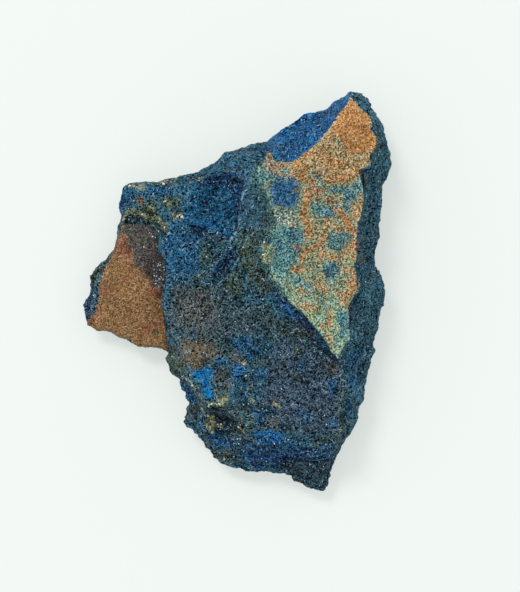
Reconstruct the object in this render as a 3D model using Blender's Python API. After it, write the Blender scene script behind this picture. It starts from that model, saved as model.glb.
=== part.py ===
"""An aerinite hand specimen: one broken piece of blue rock with a crusted top.

The stone lies on its broad under side. X runs across it, Y along it and Z is up.
All lengths below are millimetres; MM turns them into metres.
"""

import math
import random

import bmesh
import bpy
from mathutils import Vector, geometry, noise
from mathutils.bvhtree import BVHTree

MM = 0.001
STONE_NAME = "aerinite_specimen"
STONE_COLOUR = (0.035, 0.075, 0.115, 1.0)
STONE_ROUGHNESS = 0.82

# Spacing of the mesh points, level ground first, then slopes, then the under side.
LEVEL_SPACING = 1.30
STEEP_SPACING = 0.80
STEEP_SLOPE = 1.0
EDGE_SPACING = 1.15
UNDER_SPACING = 2.4

# The widest contour of the stone, clockwise from its pointed end: x, y and height.
OUTLINE = [
    (22.5, 39.8, 7.5), (24.7, 39.4, 7.0), (25.9, 38.3, 6.8), (27.2, 36.1, 6.4),
    (28.7, 34.3, 6.0), (29.2, 32.8, 6.0), (30.1, 30.2, 6.0), (30.3, 28.6, 6.0),
    (31.0, 25.8, 6.0), (30.5, 23.8, 6.0), (29.3, 21.8, 6.0), (29.0, 18.5, 6.0),
    (28.6, 14.5, 5.6), (28.4, 11.2, 5.5), (27.8, 8.5, 5.6), (27.8, 5.2, 6.0),
    (28.9, 3.0, 6.2), (29.9, 1.3, 6.5), (29.3, -2.0, 6.2), (28.5, -4.8, 6.0),
    (27.6, -7.8, 5.8), (27.4, -10.3, 5.5), (27.8, -11.6, 5.5), (27.0, -13.5, 5.5),
    (26.4, -16.8, 5.2), (25.5, -18.6, 5.0), (25.5, -21.5, 5.0), (24.6, -22.9, 4.8),
    (24.0, -25.8, 4.6), (22.8, -27.8, 4.5), (21.3, -30.6, 4.5), (19.8, -33.3, 4.2),
    (19.2, -35.4, 4.0), (18.5, -37.5, 3.6), (18.6, -38.9, 3.5), (17.0, -40.0, 3.5),
    (14.3, -38.9, 3.5), (11.4, -37.8, 3.9), (10.5, -36.7, 4.0), (8.5, -36.5, 4.2),
    (6.3, -35.8, 4.5), (3.0, -35.9, 4.5), (-0.8, -35.3, 4.5), (-3.2, -34.3, 4.5),
    (-5.0, -32.4, 4.5), (-7.5, -29.6, 4.5), (-9.0, -27.6, 4.5), (-10.7, -26.1, 4.8),
    (-10.2, -24.3, 5.0), (-9.8, -21.8, 5.0), (-11.1, -19.6, 5.0), (-11.6, -17.5, 5.0),
    (-13.2, -16.1, 5.2), (-14.4, -14.0, 5.4), (-14.5, -13.2, 5.5), (-13.6, -12.0, 5.5),
    (-15.0, -11.4, 5.2), (-18.3, -11.1, 5.0), (-20.0, -10.9, 4.8), (-22.0, -9.6, 4.6),
    (-24.2, -9.1, 4.5), (-25.4, -8.1, 4.4), (-28.0, -7.9, 4.0), (-29.7, -6.6, 4.0),
    (-30.9, -2.6, 4.0), (-30.1, -1.0, 4.0), (-29.4, 0.9, 4.0), (-29.5, 3.1, 4.0),
    (-28.4, 5.2, 4.1), (-26.2, 6.9, 4.3), (-24.8, 8.7, 4.6), (-24.2, 11.2, 5.0),
    (-23.9, 13.5, 5.2), (-23.2, 15.4, 5.5), (-23.7, 16.7, 6.0), (-23.2, 18.9, 6.4),
    (-22.9, 20.9, 6.5), (-20.8, 22.0, 6.8), (-16.0, 22.1, 7.0), (-11.5, 23.1, 7.0),
    (-8.2, 23.9, 7.2), (-5.0, 25.5, 7.5), (-2.2, 28.0, 7.6), (2.0, 29.0, 8.0),
    (5.8, 30.2, 8.0), (8.0, 31.7, 8.0), (10.0, 32.8, 8.0), (13.2, 35.2, 8.0),
    (15.2, 35.6, 8.0), (17.9, 36.7, 8.0), (18.9, 38.0, 8.0), (21.7, 39.3, 7.6),
]

# Where one face of the stone breaks into the next, and its steps and gullies.
BREAK_LINES = {
    "crust rim, right": [
        (22.3, 38.4, 15.0), (23.9, 36.4, 15.5), (26.1, 34.8, 16.0), (26.7, 32.6, 16.2),
        (26.1, 31.8, 16.4), (27.8, 30.0, 16.4), (27.6, 28.7, 16.6), (26.2, 26.8, 17.0),
        (26.2, 25.0, 17.1), (24.1, 23.8, 17.3), (24.4, 22.2, 17.3), (24.7, 20.5, 17.4),
        (24.8, 18.0, 17.5), (24.3, 15.1, 17.6), (23.6, 13.5, 17.7), (23.5, 10.0, 17.8),
        (23.4, 6.3, 17.9), (22.9, 5.1, 18.0), (23.8, 3.2, 18.0), (23.8, 0.3, 18.1),
        (22.3, -1.9, 18.1), (22.0, -5.0, 18.1), (22.0, -8.1, 17.9), (22.3, -9.2, 17.7),
        (20.8, -10.9, 17.5), (19.8, -13.0, 17.1),
    ],
    "chip below the rim": [
        (26.2, 25.0, 17.1), (26.0, 23.6, 15.2), (25.6, 22.0, 15.2), (24.7, 20.5, 17.4),
    ],
    "chip back wall": [(24.4, 23.4, 15.9), (24.7, 22.2, 15.8)],
    "crust rim, upper left": [
        (22.3, 38.4, 15.0), (20.4, 35.8, 15.6), (19.4, 34.0, 15.9), (17.8, 31.6, 16.2),
        (15.9, 29.5, 16.5), (14.1, 27.7, 16.7), (12.2, 26.2, 16.9), (10.1, 25.3, 17.0),
        (7.5, 25.4, 16.8), (5.0, 25.6, 16.4), (2.3, 24.2, 15.9),
    ],
    "ledge under the crust": [
        (19.8, -13.0, 17.1), (18.4, -11.7, 17.3), (17.6, -9.7, 17.6), (16.0, -7.5, 17.8),
        (13.8, -5.1, 18.0), (12.0, -3.1, 18.0), (10.2, -1.7, 17.9), (8.8, 0.7, 17.8),
        (7.0, 3.2, 17.6), (6.4, 5.1, 17.4), (4.9, 6.7, 17.2), (4.7, 7.7, 17.2),
        (5.2, 9.1, 17.2),
    ],
    "foot of the ledge": [
        (19.5, -13.9, 14.3), (18.2, -12.5, 14.4), (16.5, -10.7, 14.6), (14.2, -8.4, 14.8),
        (12.0, -6.0, 15.2), (9.6, -3.6, 15.6), (7.6, -0.6, 16.2), (5.8, 2.6, 16.4),
        (4.2, 5.0, 16.5),
    ],
    "ridge": [
        (2.3, 24.2, 15.9), (1.6, 22.0, 16.2), (1.4, 19.8, 16.4), (0.9, 17.8, 16.4),
        (0.6, 15.7, 16.3), (0.8, 13.5, 16.2), (-0.1, 11.7, 16.0), (-1.2, 10.3, 15.7),
        (-1.6, 8.9, 15.4), (-2.6, 7.1, 14.9), (-4.0, 5.9, 14.3), (-6.0, 4.4, 13.9),
    ],
    "inner foot of the ridge": [
        (-0.6, 21.0, 13.9), (-0.9, 18.0, 13.6), (-1.4, 15.0, 13.7), (-2.6, 12.4, 13.9),
        (-3.6, 9.6, 13.6), (-4.6, 7.4, 13.4),
    ],
    "gully": [(-0.9, 7.9, 14.9), (-1.5, 6.3, 14.3), (-2.7, 4.4, 13.9), (-3.9, 2.9, 13.6)],
    "bank of the gully": [
        (0.1, 8.2, 16.2), (0.0, 6.0, 16.0), (-1.2, 4.7, 15.6), (-2.8, 2.6, 15.1),
        (-3.9, 1.4, 14.8), (-5.6, 0.2, 14.5),
    ],
    "head of the scoop": [
        (2.3, 24.2, 15.9), (0.0, 23.6, 15.0), (-3.0, 23.4, 14.3), (-5.5, 23.0, 13.4),
        (-7.0, 22.4, 12.9), (-9.6, 20.8, 12.2),
    ],
    "head of the scoop, foot": [(0.0, 21.6, 13.7), (-3.0, 21.2, 12.8), (-6.2, 20.8, 12.3)],
    "lip of the scoop": [
        (-9.6, 20.8, 12.2), (-10.3, 18.0, 12.1), (-10.4, 15.6, 12.0), (-9.4, 14.0, 12.6),
        (-7.0, 13.4, 13.2), (-4.0, 12.6, 13.7),
    ],
    "crest of the upper left block": [
        (-22.0, 20.3, 8.6), (-19.0, 20.9, 9.3), (-15.0, 20.8, 9.9), (-11.0, 21.3, 10.8),
        (-9.6, 20.8, 12.2),
    ],
    "edge of the upper left block": [
        (-22.6, 15.2, 8.2), (-21.0, 16.4, 9.4), (-19.1, 17.0, 10.1), (-16.9, 16.8, 10.6),
        (-15.3, 15.2, 10.9), (-14.5, 14.4, 11.2), (-13.6, 12.2, 11.7),
    ],
    "foot of the upper left block": [
        (-22.0, 13.9, 7.0), (-20.8, 14.6, 7.1), (-18.5, 14.6, 7.5), (-16.8, 14.0, 8.6),
        (-15.6, 13.2, 9.2), (-14.6, 12.4, 9.5),
    ],
    "edge of the middle over the plate": [
        (-13.6, 12.2, 11.7), (-15.0, 11.0, 11.6), (-15.3, 9.0, 11.5), (-14.9, 7.4, 11.6),
        (-13.9, 5.9, 11.8), (-13.6, 4.6, 12.0), (-13.9, 2.8, 12.2), (-14.2, 1.3, 12.3),
        (-14.7, -0.4, 12.3), (-14.9, -2.6, 12.3), (-14.4, -4.8, 12.4), (-13.9, -6.6, 12.3),
        (-13.6, -8.4, 12.0), (-13.2, -10.0, 11.4), (-12.9, -11.3, 10.4),
    ],
    "foot of the middle on the plate": [
        (-14.6, 12.4, 9.5), (-15.8, 11.2, 9.2), (-16.0, 9.0, 8.9), (-15.6, 7.3, 8.8),
        (-14.6, 5.6, 8.8), (-14.3, 4.6, 8.8), (-14.6, 2.8, 8.7), (-14.9, 1.2, 8.7),
        (-15.4, -0.5, 8.6), (-15.6, -2.7, 8.6), (-15.1, -5.0, 8.4), (-14.6, -6.8, 8.2),
        (-14.3, -8.6, 7.8), (-14.1, -10.4, 7.0),
    ],
    "rounded rim of the plate": [
        (-14.8, -10.6, 6.9), (-18.2, -10.2, 6.6), (-21.4, -9.0, 6.6), (-24.6, -7.8, 6.3),
        (-27.4, -6.8, 6.0), (-28.8, -4.8, 5.9), (-29.2, -2.4, 5.9), (-28.5, 0.2, 6.0),
        (-28.0, 2.4, 6.1), (-26.8, 4.8, 6.6), (-25.4, 6.8, 7.0), (-23.8, 9.0, 7.2),
        (-23.2, 11.6, 7.1), (-22.9, 13.4, 6.9),
    ],
    "edge of the under side of the green lens": [
        (-12.9, -11.3, 10.4), (-13.2, -13.0, 10.0), (-12.2, -15.0, 10.3),
        (-10.6, -16.6, 10.8), (-9.4, -17.6, 11.2), (-8.0, -19.0, 11.6), (-7.2, -20.6, 11.8),
        (-5.6, -21.8, 12.2), (-3.0, -22.4, 13.2),
    ],
    "blue vein face": [(-9.3, -16.0, 12.0), (-5.8, -14.3, 13.3), (-5.4, -18.4, 13.0)],
    "upper edge of the hollow": [
        (-3.0, -22.4, 13.2), (-1.5, -23.4, 13.4), (0.0, -24.2, 13.5), (1.3, -25.4, 13.4),
        (2.3, -26.7, 13.1), (2.0, -27.8, 12.8),
    ],
    "floor of the hollow": [
        (-5.6, -23.6, 10.4), (-3.6, -24.6, 10.4), (-1.8, -25.8, 10.6), (0.2, -27.0, 11.2),
    ],
    "lower lip of the hollow": [
        (2.0, -27.8, 12.8), (0.6, -28.6, 12.0), (-1.0, -28.8, 11.4), (-2.8, -28.3, 10.9),
        (-5.0, -27.6, 10.2), (-6.8, -26.4, 9.6), (-7.8, -24.6, 9.0), (-8.0, -22.8, 8.8),
    ],
    "lower edge of the top": [
        (2.0, -27.8, 12.8), (4.0, -29.6, 12.3), (8.0, -30.2, 12.3), (12.0, -30.3, 12.3),
        (16.0, -30.6, 12.2), (19.2, -30.6, 11.8),
    ],
    "lower shelf": [
        (9.6, -33.0, 9.0), (11.0, -33.3, 9.1), (14.0, -33.5, 9.2), (16.6, -33.7, 9.0),
        (18.2, -33.2, 8.6),
    ],
    "lower lobe": [(11.4, -35.4, 7.6), (14.2, -36.4, 7.2), (16.6, -37.4, 6.8)],
    "edge of the right face, low": [
        (19.8, -13.0, 17.1), (20.2, -14.6, 15.3), (20.2, -16.4, 14.8), (20.9, -17.9, 14.6),
        (21.2, -19.6, 14.5), (20.7, -20.8, 14.5), (20.7, -22.6, 14.3), (20.2, -24.9, 13.9),
        (20.7, -27.7, 12.9), (19.2, -30.6, 11.8),
    ],
    "bulge on the right face": [
        (25.2, 6.0, 14.6), (26.8, 3.4, 12.4), (27.6, 1.4, 11.4), (27.0, -2.0, 11.4),
        (26.0, -5.0, 11.2),
    ],
    "shelf on the right face": [
        (28.4, 28.8, 10.6), (28.8, 25.6, 10.8), (27.6, 22.0, 11.6), (27.0, 18.0, 11.2),
        (26.6, 14.0, 11.4), (25.8, 10.0, 11.8),
    ],
    "edge of the shelf": [
        (29.3, 28.2, 9.9), (29.8, 25.4, 10.0), (28.4, 21.8, 10.6), (27.9, 18.0, 10.2),
        (27.4, 14.2, 10.4), (26.7, 10.4, 10.8),
    ],
    "low ridge on the right face": [
        (23.4, -15.4, 11.0), (24.2, -18.6, 9.9), (24.3, -21.6, 9.4), (23.2, -25.0, 8.9),
        (21.8, -28.2, 8.7),
    ],
    "groove behind the low ridge": [
        (22.4, -15.8, 12.2), (23.0, -18.8, 10.9), (22.9, -21.8, 10.6), (22.2, -24.6, 10.2),
    ],
}

# Single heights between the lines.
SPOT_HEIGHTS = [
    (4.2, 17.0, 16.9), (8.0, 21.0, 17.4), (14.0, 22.0, 17.6), (20.0, 28.0, 17.5),
    (22.5, 33.0, 16.6), (18.0, 18.0, 17.8), (12.0, 14.0, 17.6), (8.0, 10.0, 17.3),
    (16.0, 6.0, 18.2), (20.0, 0.0, 18.4), (18.0, -6.0, 18.2), (12.0, 2.0, 18.1),
    (3.0, 11.5, 16.7), (4.0, 4.0, 16.4), (0.0, 0.0, 15.6), (3.5, -3.0, 15.9),
    (-5.0, -2.0, 14.6), (-10.0, 0.5, 13.7), (-10.0, 5.0, 13.2), (-11.5, 9.0, 12.7),
    (0.0, -6.0, 15.0), (-5.0, -6.0, 14.5), (-10.0, -6.0, 13.7), (6.0, -7.5, 15.1),
    (10.0, -10.0, 14.9), (14.5, -13.0, 14.7), (5.0, -12.0, 14.8), (0.0, -12.0, 14.6),
    (-6.0, -11.0, 14.1), (-10.5, -12.5, 12.8), (0.0, -18.0, 14.2), (6.0, -18.0, 14.6),
    (12.0, -18.0, 14.7), (17.0, -19.0, 14.8), (8.0, -25.0, 14.0), (15.0, -26.0, 14.0),
    (-5.0, 17.0, 11.9), (-7.6, 16.6, 12.0), (-3.0, 17.6, 12.4),
    (-13.0, 17.5, 11.3), (-17.0, 18.6, 10.6), (-20.6, 18.2, 9.5),
    (-19.0, 11.0, 8.1), (-20.0, 5.0, 8.1), (-24.0, 3.0, 7.5), (-18.0, 0.0, 8.6),
    (-24.0, -3.0, 7.5), (-19.0, -5.0, 8.2), (-17.0, -8.4, 7.6), (-21.6, 1.0, 8.3),
    (6.0, -33.0, 8.8), (0.0, -32.0, 9.0), (-4.0, -30.2, 8.6), (14.0, -32.0, 10.6),
    (8.0, 29.4, 12.2), (12.6, 31.2, 11.8), (16.6, 34.4, 11.6), (1.0, 26.8, 11.9),
    (-3.6, 25.4, 11.0),
]

# Rounded dents and swellings: x, y, radius and depth (a swelling is negative).
DENTS = [
    (-5.0, 17.4, 5.2, 0.9), (-2.6, 5.2, 1.8, 0.5), (-2.4, -25.6, 3.4, 0.7),
    (26.8, 17.0, 3.0, 0.5), (25.6, -12.5, 2.6, 0.5), (12.5, 31.0, 4.5, -0.5),
    (3.0, -9.5, 4.0, -0.35), (11.5, -21.0, 5.0, -0.45), (7.5, -16.0, 2.8, 0.4),
    (16.5, -16.5, 2.6, 0.35), (-9.0, -3.0, 3.6, -0.35), (-1.8, -17.0, 2.6, 0.5),
    (4.8, -23.6, 2.2, 0.4), (-20.5, -1.0, 5.5, -0.35), (-26.0, 1.5, 2.5, -0.2),
    (18.6, 17.0, 2.2, 0.3), (15.5, 22.8, 1.8, 0.35), (10.0, 19.0, 2.6, 0.35),
    (18.8, 3.8, 1.9, 0.3), (22.4, -0.6, 1.6, -0.35), (-13.0, -13.6, 1.8, -0.3),
    (6.4, -32.6, 3.0, 0.5), (14.0, -36.0, 2.4, -0.3), (27.0, 26.5, 2.0, -0.3),
    (-17.0, 3.6, 1.6, 0.4), (9.6, 14.2, 2.0, 0.3),
]

# Bands of shallow waves where the rock split along its grain:
# centre x, centre y, half length, half width, direction (degrees), wave length, height.
WAVES = [
    (-6.0, 10.5, 5.0, 3.2, 152.0, 2.3, 0.30), (-1.5, 2.0, 6.0, 4.0, 40.0, 2.6, 0.22),
    (-3.0, -29.6, 5.5, 2.2, 160.0, 1.9, 0.22), (13.0, -31.6, 6.0, 1.6, 175.0, 1.8, 0.20),
    (26.0, -4.0, 3.0, 8.0, 80.0, 2.2, 0.22), (26.6, 16.0, 3.0, 10.0, 84.0, 2.1, 0.22),
    (9.0, -15.5, 7.0, 3.0, 25.0, 2.8, 0.18), (-19.0, 14.6, 3.5, 1.6, 12.0, 1.7, 0.20),
]

# Rough grain of the broken rock: height of the bumps and their size.
GRAIN_COARSE = (0.34, 4.6)
GRAIN_FINE = (0.17, 1.7)
EDGE_GRAIN = 0.15
EDGE_FADE = 1.6
STEEP_GRAIN = 1.7
# How much of the grain smoother patches keep: centre x, y, half sizes and share.
SMOOTH_PATCHES = [
    (16.0, 12.0, 9.5, 24.0, 0.55), (-22.5, -1.0, 7.5, 9.0, 0.5), (11.5, 31.5, 8.0, 4.5, 0.6),
]

# How far the widest contour wanders up and down, and over what length.
CONTOUR_SWING = (2.6, 5.5)

# The under side: rings from the widest contour down to the base, as
# (share of the height left, inset in millimetres, roughness).
SKIRT_RINGS = [(0.70, 0.35, 0.30), (0.42, 1.05, 0.42), (0.18, 2.05, 0.30), (0.0, 3.2, 0.0)]
INSET_SWING = (0.45, 11.0)
CORNER_SMOOTHING = 26
MESH_SEED = 7

# Shallow hollows under the stone, round the level ground it rests on: x, y, radius, depth.
BASE_HOLLOWS = [
    (-18.5, 2.0, 8.5, 1.5), (-16.5, 14.5, 6.0, 1.1), (19.5, 27.5, 6.5, 1.2),
    (-1.5, -25.5, 6.0, 1.2), (14.0, -27.5, 6.5, 1.0), (4.5, 22.0, 5.5, 0.9),
    (21.5, 6.0, 4.0, 0.7), (-6.5, -11.5, 5.0, 0.8), (-24.0, -4.0, 4.5, 1.1),
]


def remove_everything():
    for old_object in list(bpy.data.objects):
        bpy.data.objects.remove(old_object, do_unlink=True)


def smooth_step(value):
    value = min(1.0, max(0.0, value))
    return value * value * (3.0 - 2.0 * value)


def divide(points, spacing, closed):
    """Points every `spacing` along a line, keeping each corner that it is given."""
    result = []
    count = len(points) if closed else len(points) - 1
    for index in range(count):
        start = Vector(points[index])
        end = Vector(points[(index + 1) % len(points)])
        steps = max(1, round((end.xy - start.xy).length / spacing))
        for step in range(steps):
            result.append(start.lerp(end, step / steps))
    if not closed:
        result.append(Vector(points[-1]))
    return result


def flat_mesh(outline, lines, loose):
    """Triangles over the outline, with every line kept as mesh edges."""
    points = [point.xy for point in outline]
    edges = [(index, (index + 1) % len(outline)) for index in range(len(outline))]
    for line in lines:
        first = len(points)
        points += [point.xy for point in line]
        edges += [(first + index, first + index + 1) for index in range(len(line) - 1)]
    points += [point.xy for point in loose]
    sources = list(outline)
    for line in lines:
        sources += line
    sources += loose
    places, _, faces, origins, _, _ = geometry.delaunay_2d_cdt(points, edges, [], 1, 0.001)
    return places, faces, origins, sources


def broad_surface():
    """The stone's top as broad plane facets between the lines and spot heights."""
    outline = [Vector(point) for point in OUTLINE]
    lines = [[Vector(point) for point in line] for line in BREAK_LINES.values()]
    spots = [Vector(point) for point in SPOT_HEIGHTS]
    places, faces, origins, sources = flat_mesh(outline, lines, spots)
    corners = []
    for place, origin in zip(places, origins):
        if not origin:
            raise ValueError(f"two break lines cross at {place.x:.2f}, {place.y:.2f}")
        corners.append(Vector((place.x, place.y, sources[origin[0]].z)))
    return BVHTree.FromPolygons(corners, faces)


def surface_height(surface, x, y):
    hit, normal, _, _ = surface.ray_cast(Vector((x, y, 100.0)), Vector((0.0, 0.0, -1.0)))
    if hit is None:
        hit, normal, _, _ = surface.find_nearest(Vector((x, y, 8.0)))
    return hit.z, abs(normal.z)


def dent_depth(x, y, dents):
    depth = 0.0
    for centre_x, centre_y, radius, deep in dents:
        away = math.hypot(x - centre_x, y - centre_y) / radius
        depth += deep * smooth_step(1.0 - away)
    return depth


def wave_height(x, y):
    height = 0.0
    for centre_x, centre_y, half_length, half_width, degrees, length, high in WAVES:
        angle = math.radians(degrees)
        along = (x - centre_x) * math.cos(angle) + (y - centre_y) * math.sin(angle)
        across = (y - centre_y) * math.cos(angle) - (x - centre_x) * math.sin(angle)
        away = math.hypot(along / half_length, across / half_width)
        sway = noise.noise(Vector((x * 0.25, y * 0.25, 3.0))) * 1.2
        wave = math.sin(math.tau * (across + sway) / length)
        height += high * wave * smooth_step(1.6 - 1.6 * away)
    return height


def rock_grain(place):
    coarse_height, coarse_size = GRAIN_COARSE
    fine_height, fine_size = GRAIN_FINE
    coarse = noise.turbulence(place / coarse_size, 2, False) - 0.5
    fine = noise.noise(place / fine_size + Vector((9.0, 2.0, 5.0)))
    return coarse * 2.0 * coarse_height + fine * fine_height


def grain_share(place, normal):
    """How much of the grain a place shows: more on steep faces, less on crusts."""
    steep = smooth_step(1.4 - 2.0 * abs(normal.z))
    share = 1.0 + (STEEP_GRAIN - 1.0) * steep
    for centre_x, centre_y, half_x, half_y, kept in SMOOTH_PATCHES:
        away = math.hypot((place.x - centre_x) / half_x, (place.y - centre_y) / half_y)
        share *= 1.0 - (1.0 - kept) * smooth_step(3.0 - 3.0 * away)
    return share


def scatter(surface, outline, fixed):
    """Random points that keep their distance, closer together where it is steep."""
    rng = random.Random(MESH_SEED)
    cells = {}
    cell_size = LEVEL_SPACING

    def near(point, distance):
        column = int(point.x // cell_size)
        row = int(point.y // cell_size)
        for i in range(column - 1, column + 2):
            for j in range(row - 1, row + 2):
                for other in cells.get((i, j), ()):
                    if (other - point).length < distance:
                        return True
        return False

    def keep(point):
        cell = (int(point.x // cell_size), int(point.y // cell_size))
        cells.setdefault(cell, []).append(point)

    for point in fixed:
        keep(point.xy)
    border = [point.xy for point in outline]
    low_x = min(point.x for point in border)
    high_x = max(point.x for point in border)
    low_y = min(point.y for point in border)
    high_y = max(point.y for point in border)
    tries = int((high_x - low_x) * (high_y - low_y) * 14)
    scattered = []
    for _ in range(tries):
        point = Vector((rng.uniform(low_x, high_x), rng.uniform(low_y, high_y)))
        if not inside(point, border):
            continue
        _, level = surface_height(surface, point.x, point.y)
        slope = math.sqrt(max(0.0, 1.0 - level * level)) / max(level, 0.05)
        steep = smooth_step(slope / STEEP_SLOPE)
        distance = LEVEL_SPACING + (STEEP_SPACING - LEVEL_SPACING) * steep
        if near(point, distance * 0.84):
            continue
        keep(point)
        scattered.append(point.to_3d())
    return scattered


def inside(point, border):
    """Whether a point lies inside a closed outline, by counting crossings."""
    count = 0
    for index, start in enumerate(border):
        end = border[(index + 1) % len(border)]
        if (start.y > point.y) == (end.y > point.y):
            continue
        crossing = start.x + (point.y - start.y) / (end.y - start.y) * (end.x - start.x)
        count += point.x < crossing
    return count % 2 == 1


def top_sheet(mesh, outline, surface):
    """The stone's upper side; gives back the vertices along its widest contour."""
    lines = [divide(line, EDGE_SPACING, False) for line in BREAK_LINES.values()]
    fixed = list(outline)
    for line in lines:
        fixed += line
    loose = scatter(surface, outline, fixed)
    places, faces, origins, _ = flat_mesh(outline, lines, loose)
    contour = [None] * len(outline)
    vertices = []
    for place, origin in zip(places, origins):
        on_contour = bool(origin) and min(origin) < len(outline)
        if on_contour:
            height = outline[min(origin)].z
        else:
            height, _ = surface_height(surface, place.x, place.y)
            height += wave_height(place.x, place.y) - dent_depth(place.x, place.y, DENTS)
        vertex = mesh.verts.new((place.x, place.y, height))
        vertices.append(vertex)
        if on_contour:
            contour[min(origin)] = vertex
    for face in faces:
        mesh.faces.new([vertices[index] for index in face])
    return contour, vertices


def roughen(mesh, vertices, contour):
    """Push each vertex in or out along its normal by the rock's grain."""
    mesh.normal_update()
    rim = [vertex.co.xy.copy() for vertex in contour]
    moves = []
    for vertex in vertices:
        place = vertex.co
        rim_distance = min((place.xy - other).length for other in rim)
        share = EDGE_GRAIN + (1.0 - EDGE_GRAIN) * smooth_step(rim_distance / EDGE_FADE)
        share *= grain_share(place, vertex.normal)
        moves.append(vertex.normal * rock_grain(place) * share)
    for vertex, move in zip(vertices, moves):
        vertex.co += move


def smoothed(points, passes):
    points = [point.copy() for point in points]
    for _ in range(passes):
        before = [point.copy() for point in points]
        for index, point in enumerate(before):
            middle = (before[index - 1] + before[(index + 1) % len(before)]) / 2
            points[index] = point.lerp(middle, 0.5)
    return points


def wandering_contour():
    """The widest contour in short steps, its height swinging up and down."""
    swing, length = CONTOUR_SWING
    contour = divide(OUTLINE, EDGE_SPACING, True)
    for point in contour:
        point.z += swing * noise.noise(Vector((point.x, point.y, 20.0)) / length)
    return contour


def skirt(mesh, contour):
    """Rings from the widest contour in and down to the base; gives the last ring."""
    swing, length = INSET_SWING
    outer = [vertex.co.copy() for vertex in contour]
    soft = smoothed([point.xy for point in outer], CORNER_SMOOTHING)
    inward = []
    for index in range(len(soft)):
        along = soft[(index + 1) % len(soft)] - soft[index - 1]
        inward.append(Vector((along.y, -along.x)).normalized())
    last = contour
    for height_share, inset, rough in SKIRT_RINGS:
        blend = smooth_step(inset / SKIRT_RINGS[-1][1])
        ring = []
        for start, softened, direction in zip(outer, soft, inward):
            swell = 1.0 + swing * noise.noise(Vector((start.x, start.y, 60.0)) / length) * 2.0
            place = start.xy.lerp(softened, blend) + direction * inset * swell
            height = start.z * height_share
            bump = noise.noise(Vector((place.x, place.y, height)) / 2.6)
            place -= direction * bump * rough * 2.0
            ring.append(mesh.verts.new((place.x, place.y, height)))
        for index in range(len(ring)):
            after = (index + 1) % len(ring)
            mesh.faces.new((last[index], last[after], ring[after], ring[index]))
        last = ring
    return last


def under_side(mesh, ring):
    """The base: level ground contact, with shallow hollows where the rock is lifted."""
    border = [vertex.co.copy() for vertex in ring]
    flat_border = [point.xy for point in border]
    low_x = min(point.x for point in border)
    low_y = min(point.y for point in border)
    high_x = max(point.x for point in border)
    high_y = max(point.y for point in border)
    loose = []
    rng = random.Random(MESH_SEED + 1)
    row_height = UNDER_SPACING * math.sqrt(3.0) / 2.0
    rows = int((high_y - low_y) / row_height) + 1
    columns = int((high_x - low_x) / UNDER_SPACING) + 1
    jitter = UNDER_SPACING * 0.22
    for row in range(rows):
        for column in range(columns):
            x = low_x + (column + 0.5 * (row % 2)) * UNDER_SPACING + rng.uniform(-jitter, jitter)
            y = low_y + row * row_height + rng.uniform(-jitter, jitter)
            point = Vector((x, y))
            clear = min((point - other).length for other in flat_border)
            if inside(point, flat_border) and clear > UNDER_SPACING * 0.6:
                loose.append(point.to_3d())
    places, faces, origins, _ = flat_mesh(border, [], loose)
    vertices = []
    for place, origin in zip(places, origins):
        if origin and min(origin) < len(ring):
            vertices.append(ring[min(origin)])
            continue
        height = dent_depth(place.x, place.y, BASE_HOLLOWS)
        vertices.append(mesh.verts.new((place.x, place.y, height)))
    for face in faces:
        mesh.faces.new([vertices[index] for index in reversed(face)])


def stone_material():
    material = bpy.data.materials.new("aerinite")
    material.use_nodes = True
    shader = material.node_tree.nodes["Principled BSDF"]
    shader.inputs["Base Color"].default_value = STONE_COLOUR
    shader.inputs["Roughness"].default_value = STONE_ROUGHNESS
    shader.inputs["Metallic"].default_value = 0.0
    material.diffuse_color = STONE_COLOUR
    return material


def centre_on_origin(mesh):
    """Put the middle of the bounding box's under side at the origin."""
    low = Vector([min(vertex.co[axis] for vertex in mesh.verts) for axis in range(3)])
    high = Vector([max(vertex.co[axis] for vertex in mesh.verts) for axis in range(3)])
    middle = (low + high) / 2
    middle.z = low.z
    for vertex in mesh.verts:
        vertex.co -= middle


def build_stone():
    surface = broad_surface()
    outline = wandering_contour()
    mesh = bmesh.new()
    contour, vertices = top_sheet(mesh, outline, surface)
    roughen(mesh, vertices, contour)
    base_ring = skirt(mesh, contour)
    under_side(mesh, base_ring)
    bmesh.ops.triangulate(mesh, faces=mesh.faces)
    bmesh.ops.recalc_face_normals(mesh, faces=mesh.faces)
    centre_on_origin(mesh)
    bmesh.ops.scale(mesh, vec=(MM, MM, MM), verts=mesh.verts)
    data = bpy.data.meshes.new(STONE_NAME)
    mesh.to_mesh(data)
    mesh.free()
    data.materials.append(stone_material())
    stone = bpy.data.objects.new(STONE_NAME, data)
    bpy.context.collection.objects.link(stone)
    return stone


remove_everything()
build_stone()
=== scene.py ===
"""The looks of an aerinite hand specimen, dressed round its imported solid."""

import math
import random

import bpy
import numpy as np
from mathutils import Matrix, Vector
from mathutils.bvhtree import BVHTree


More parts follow.
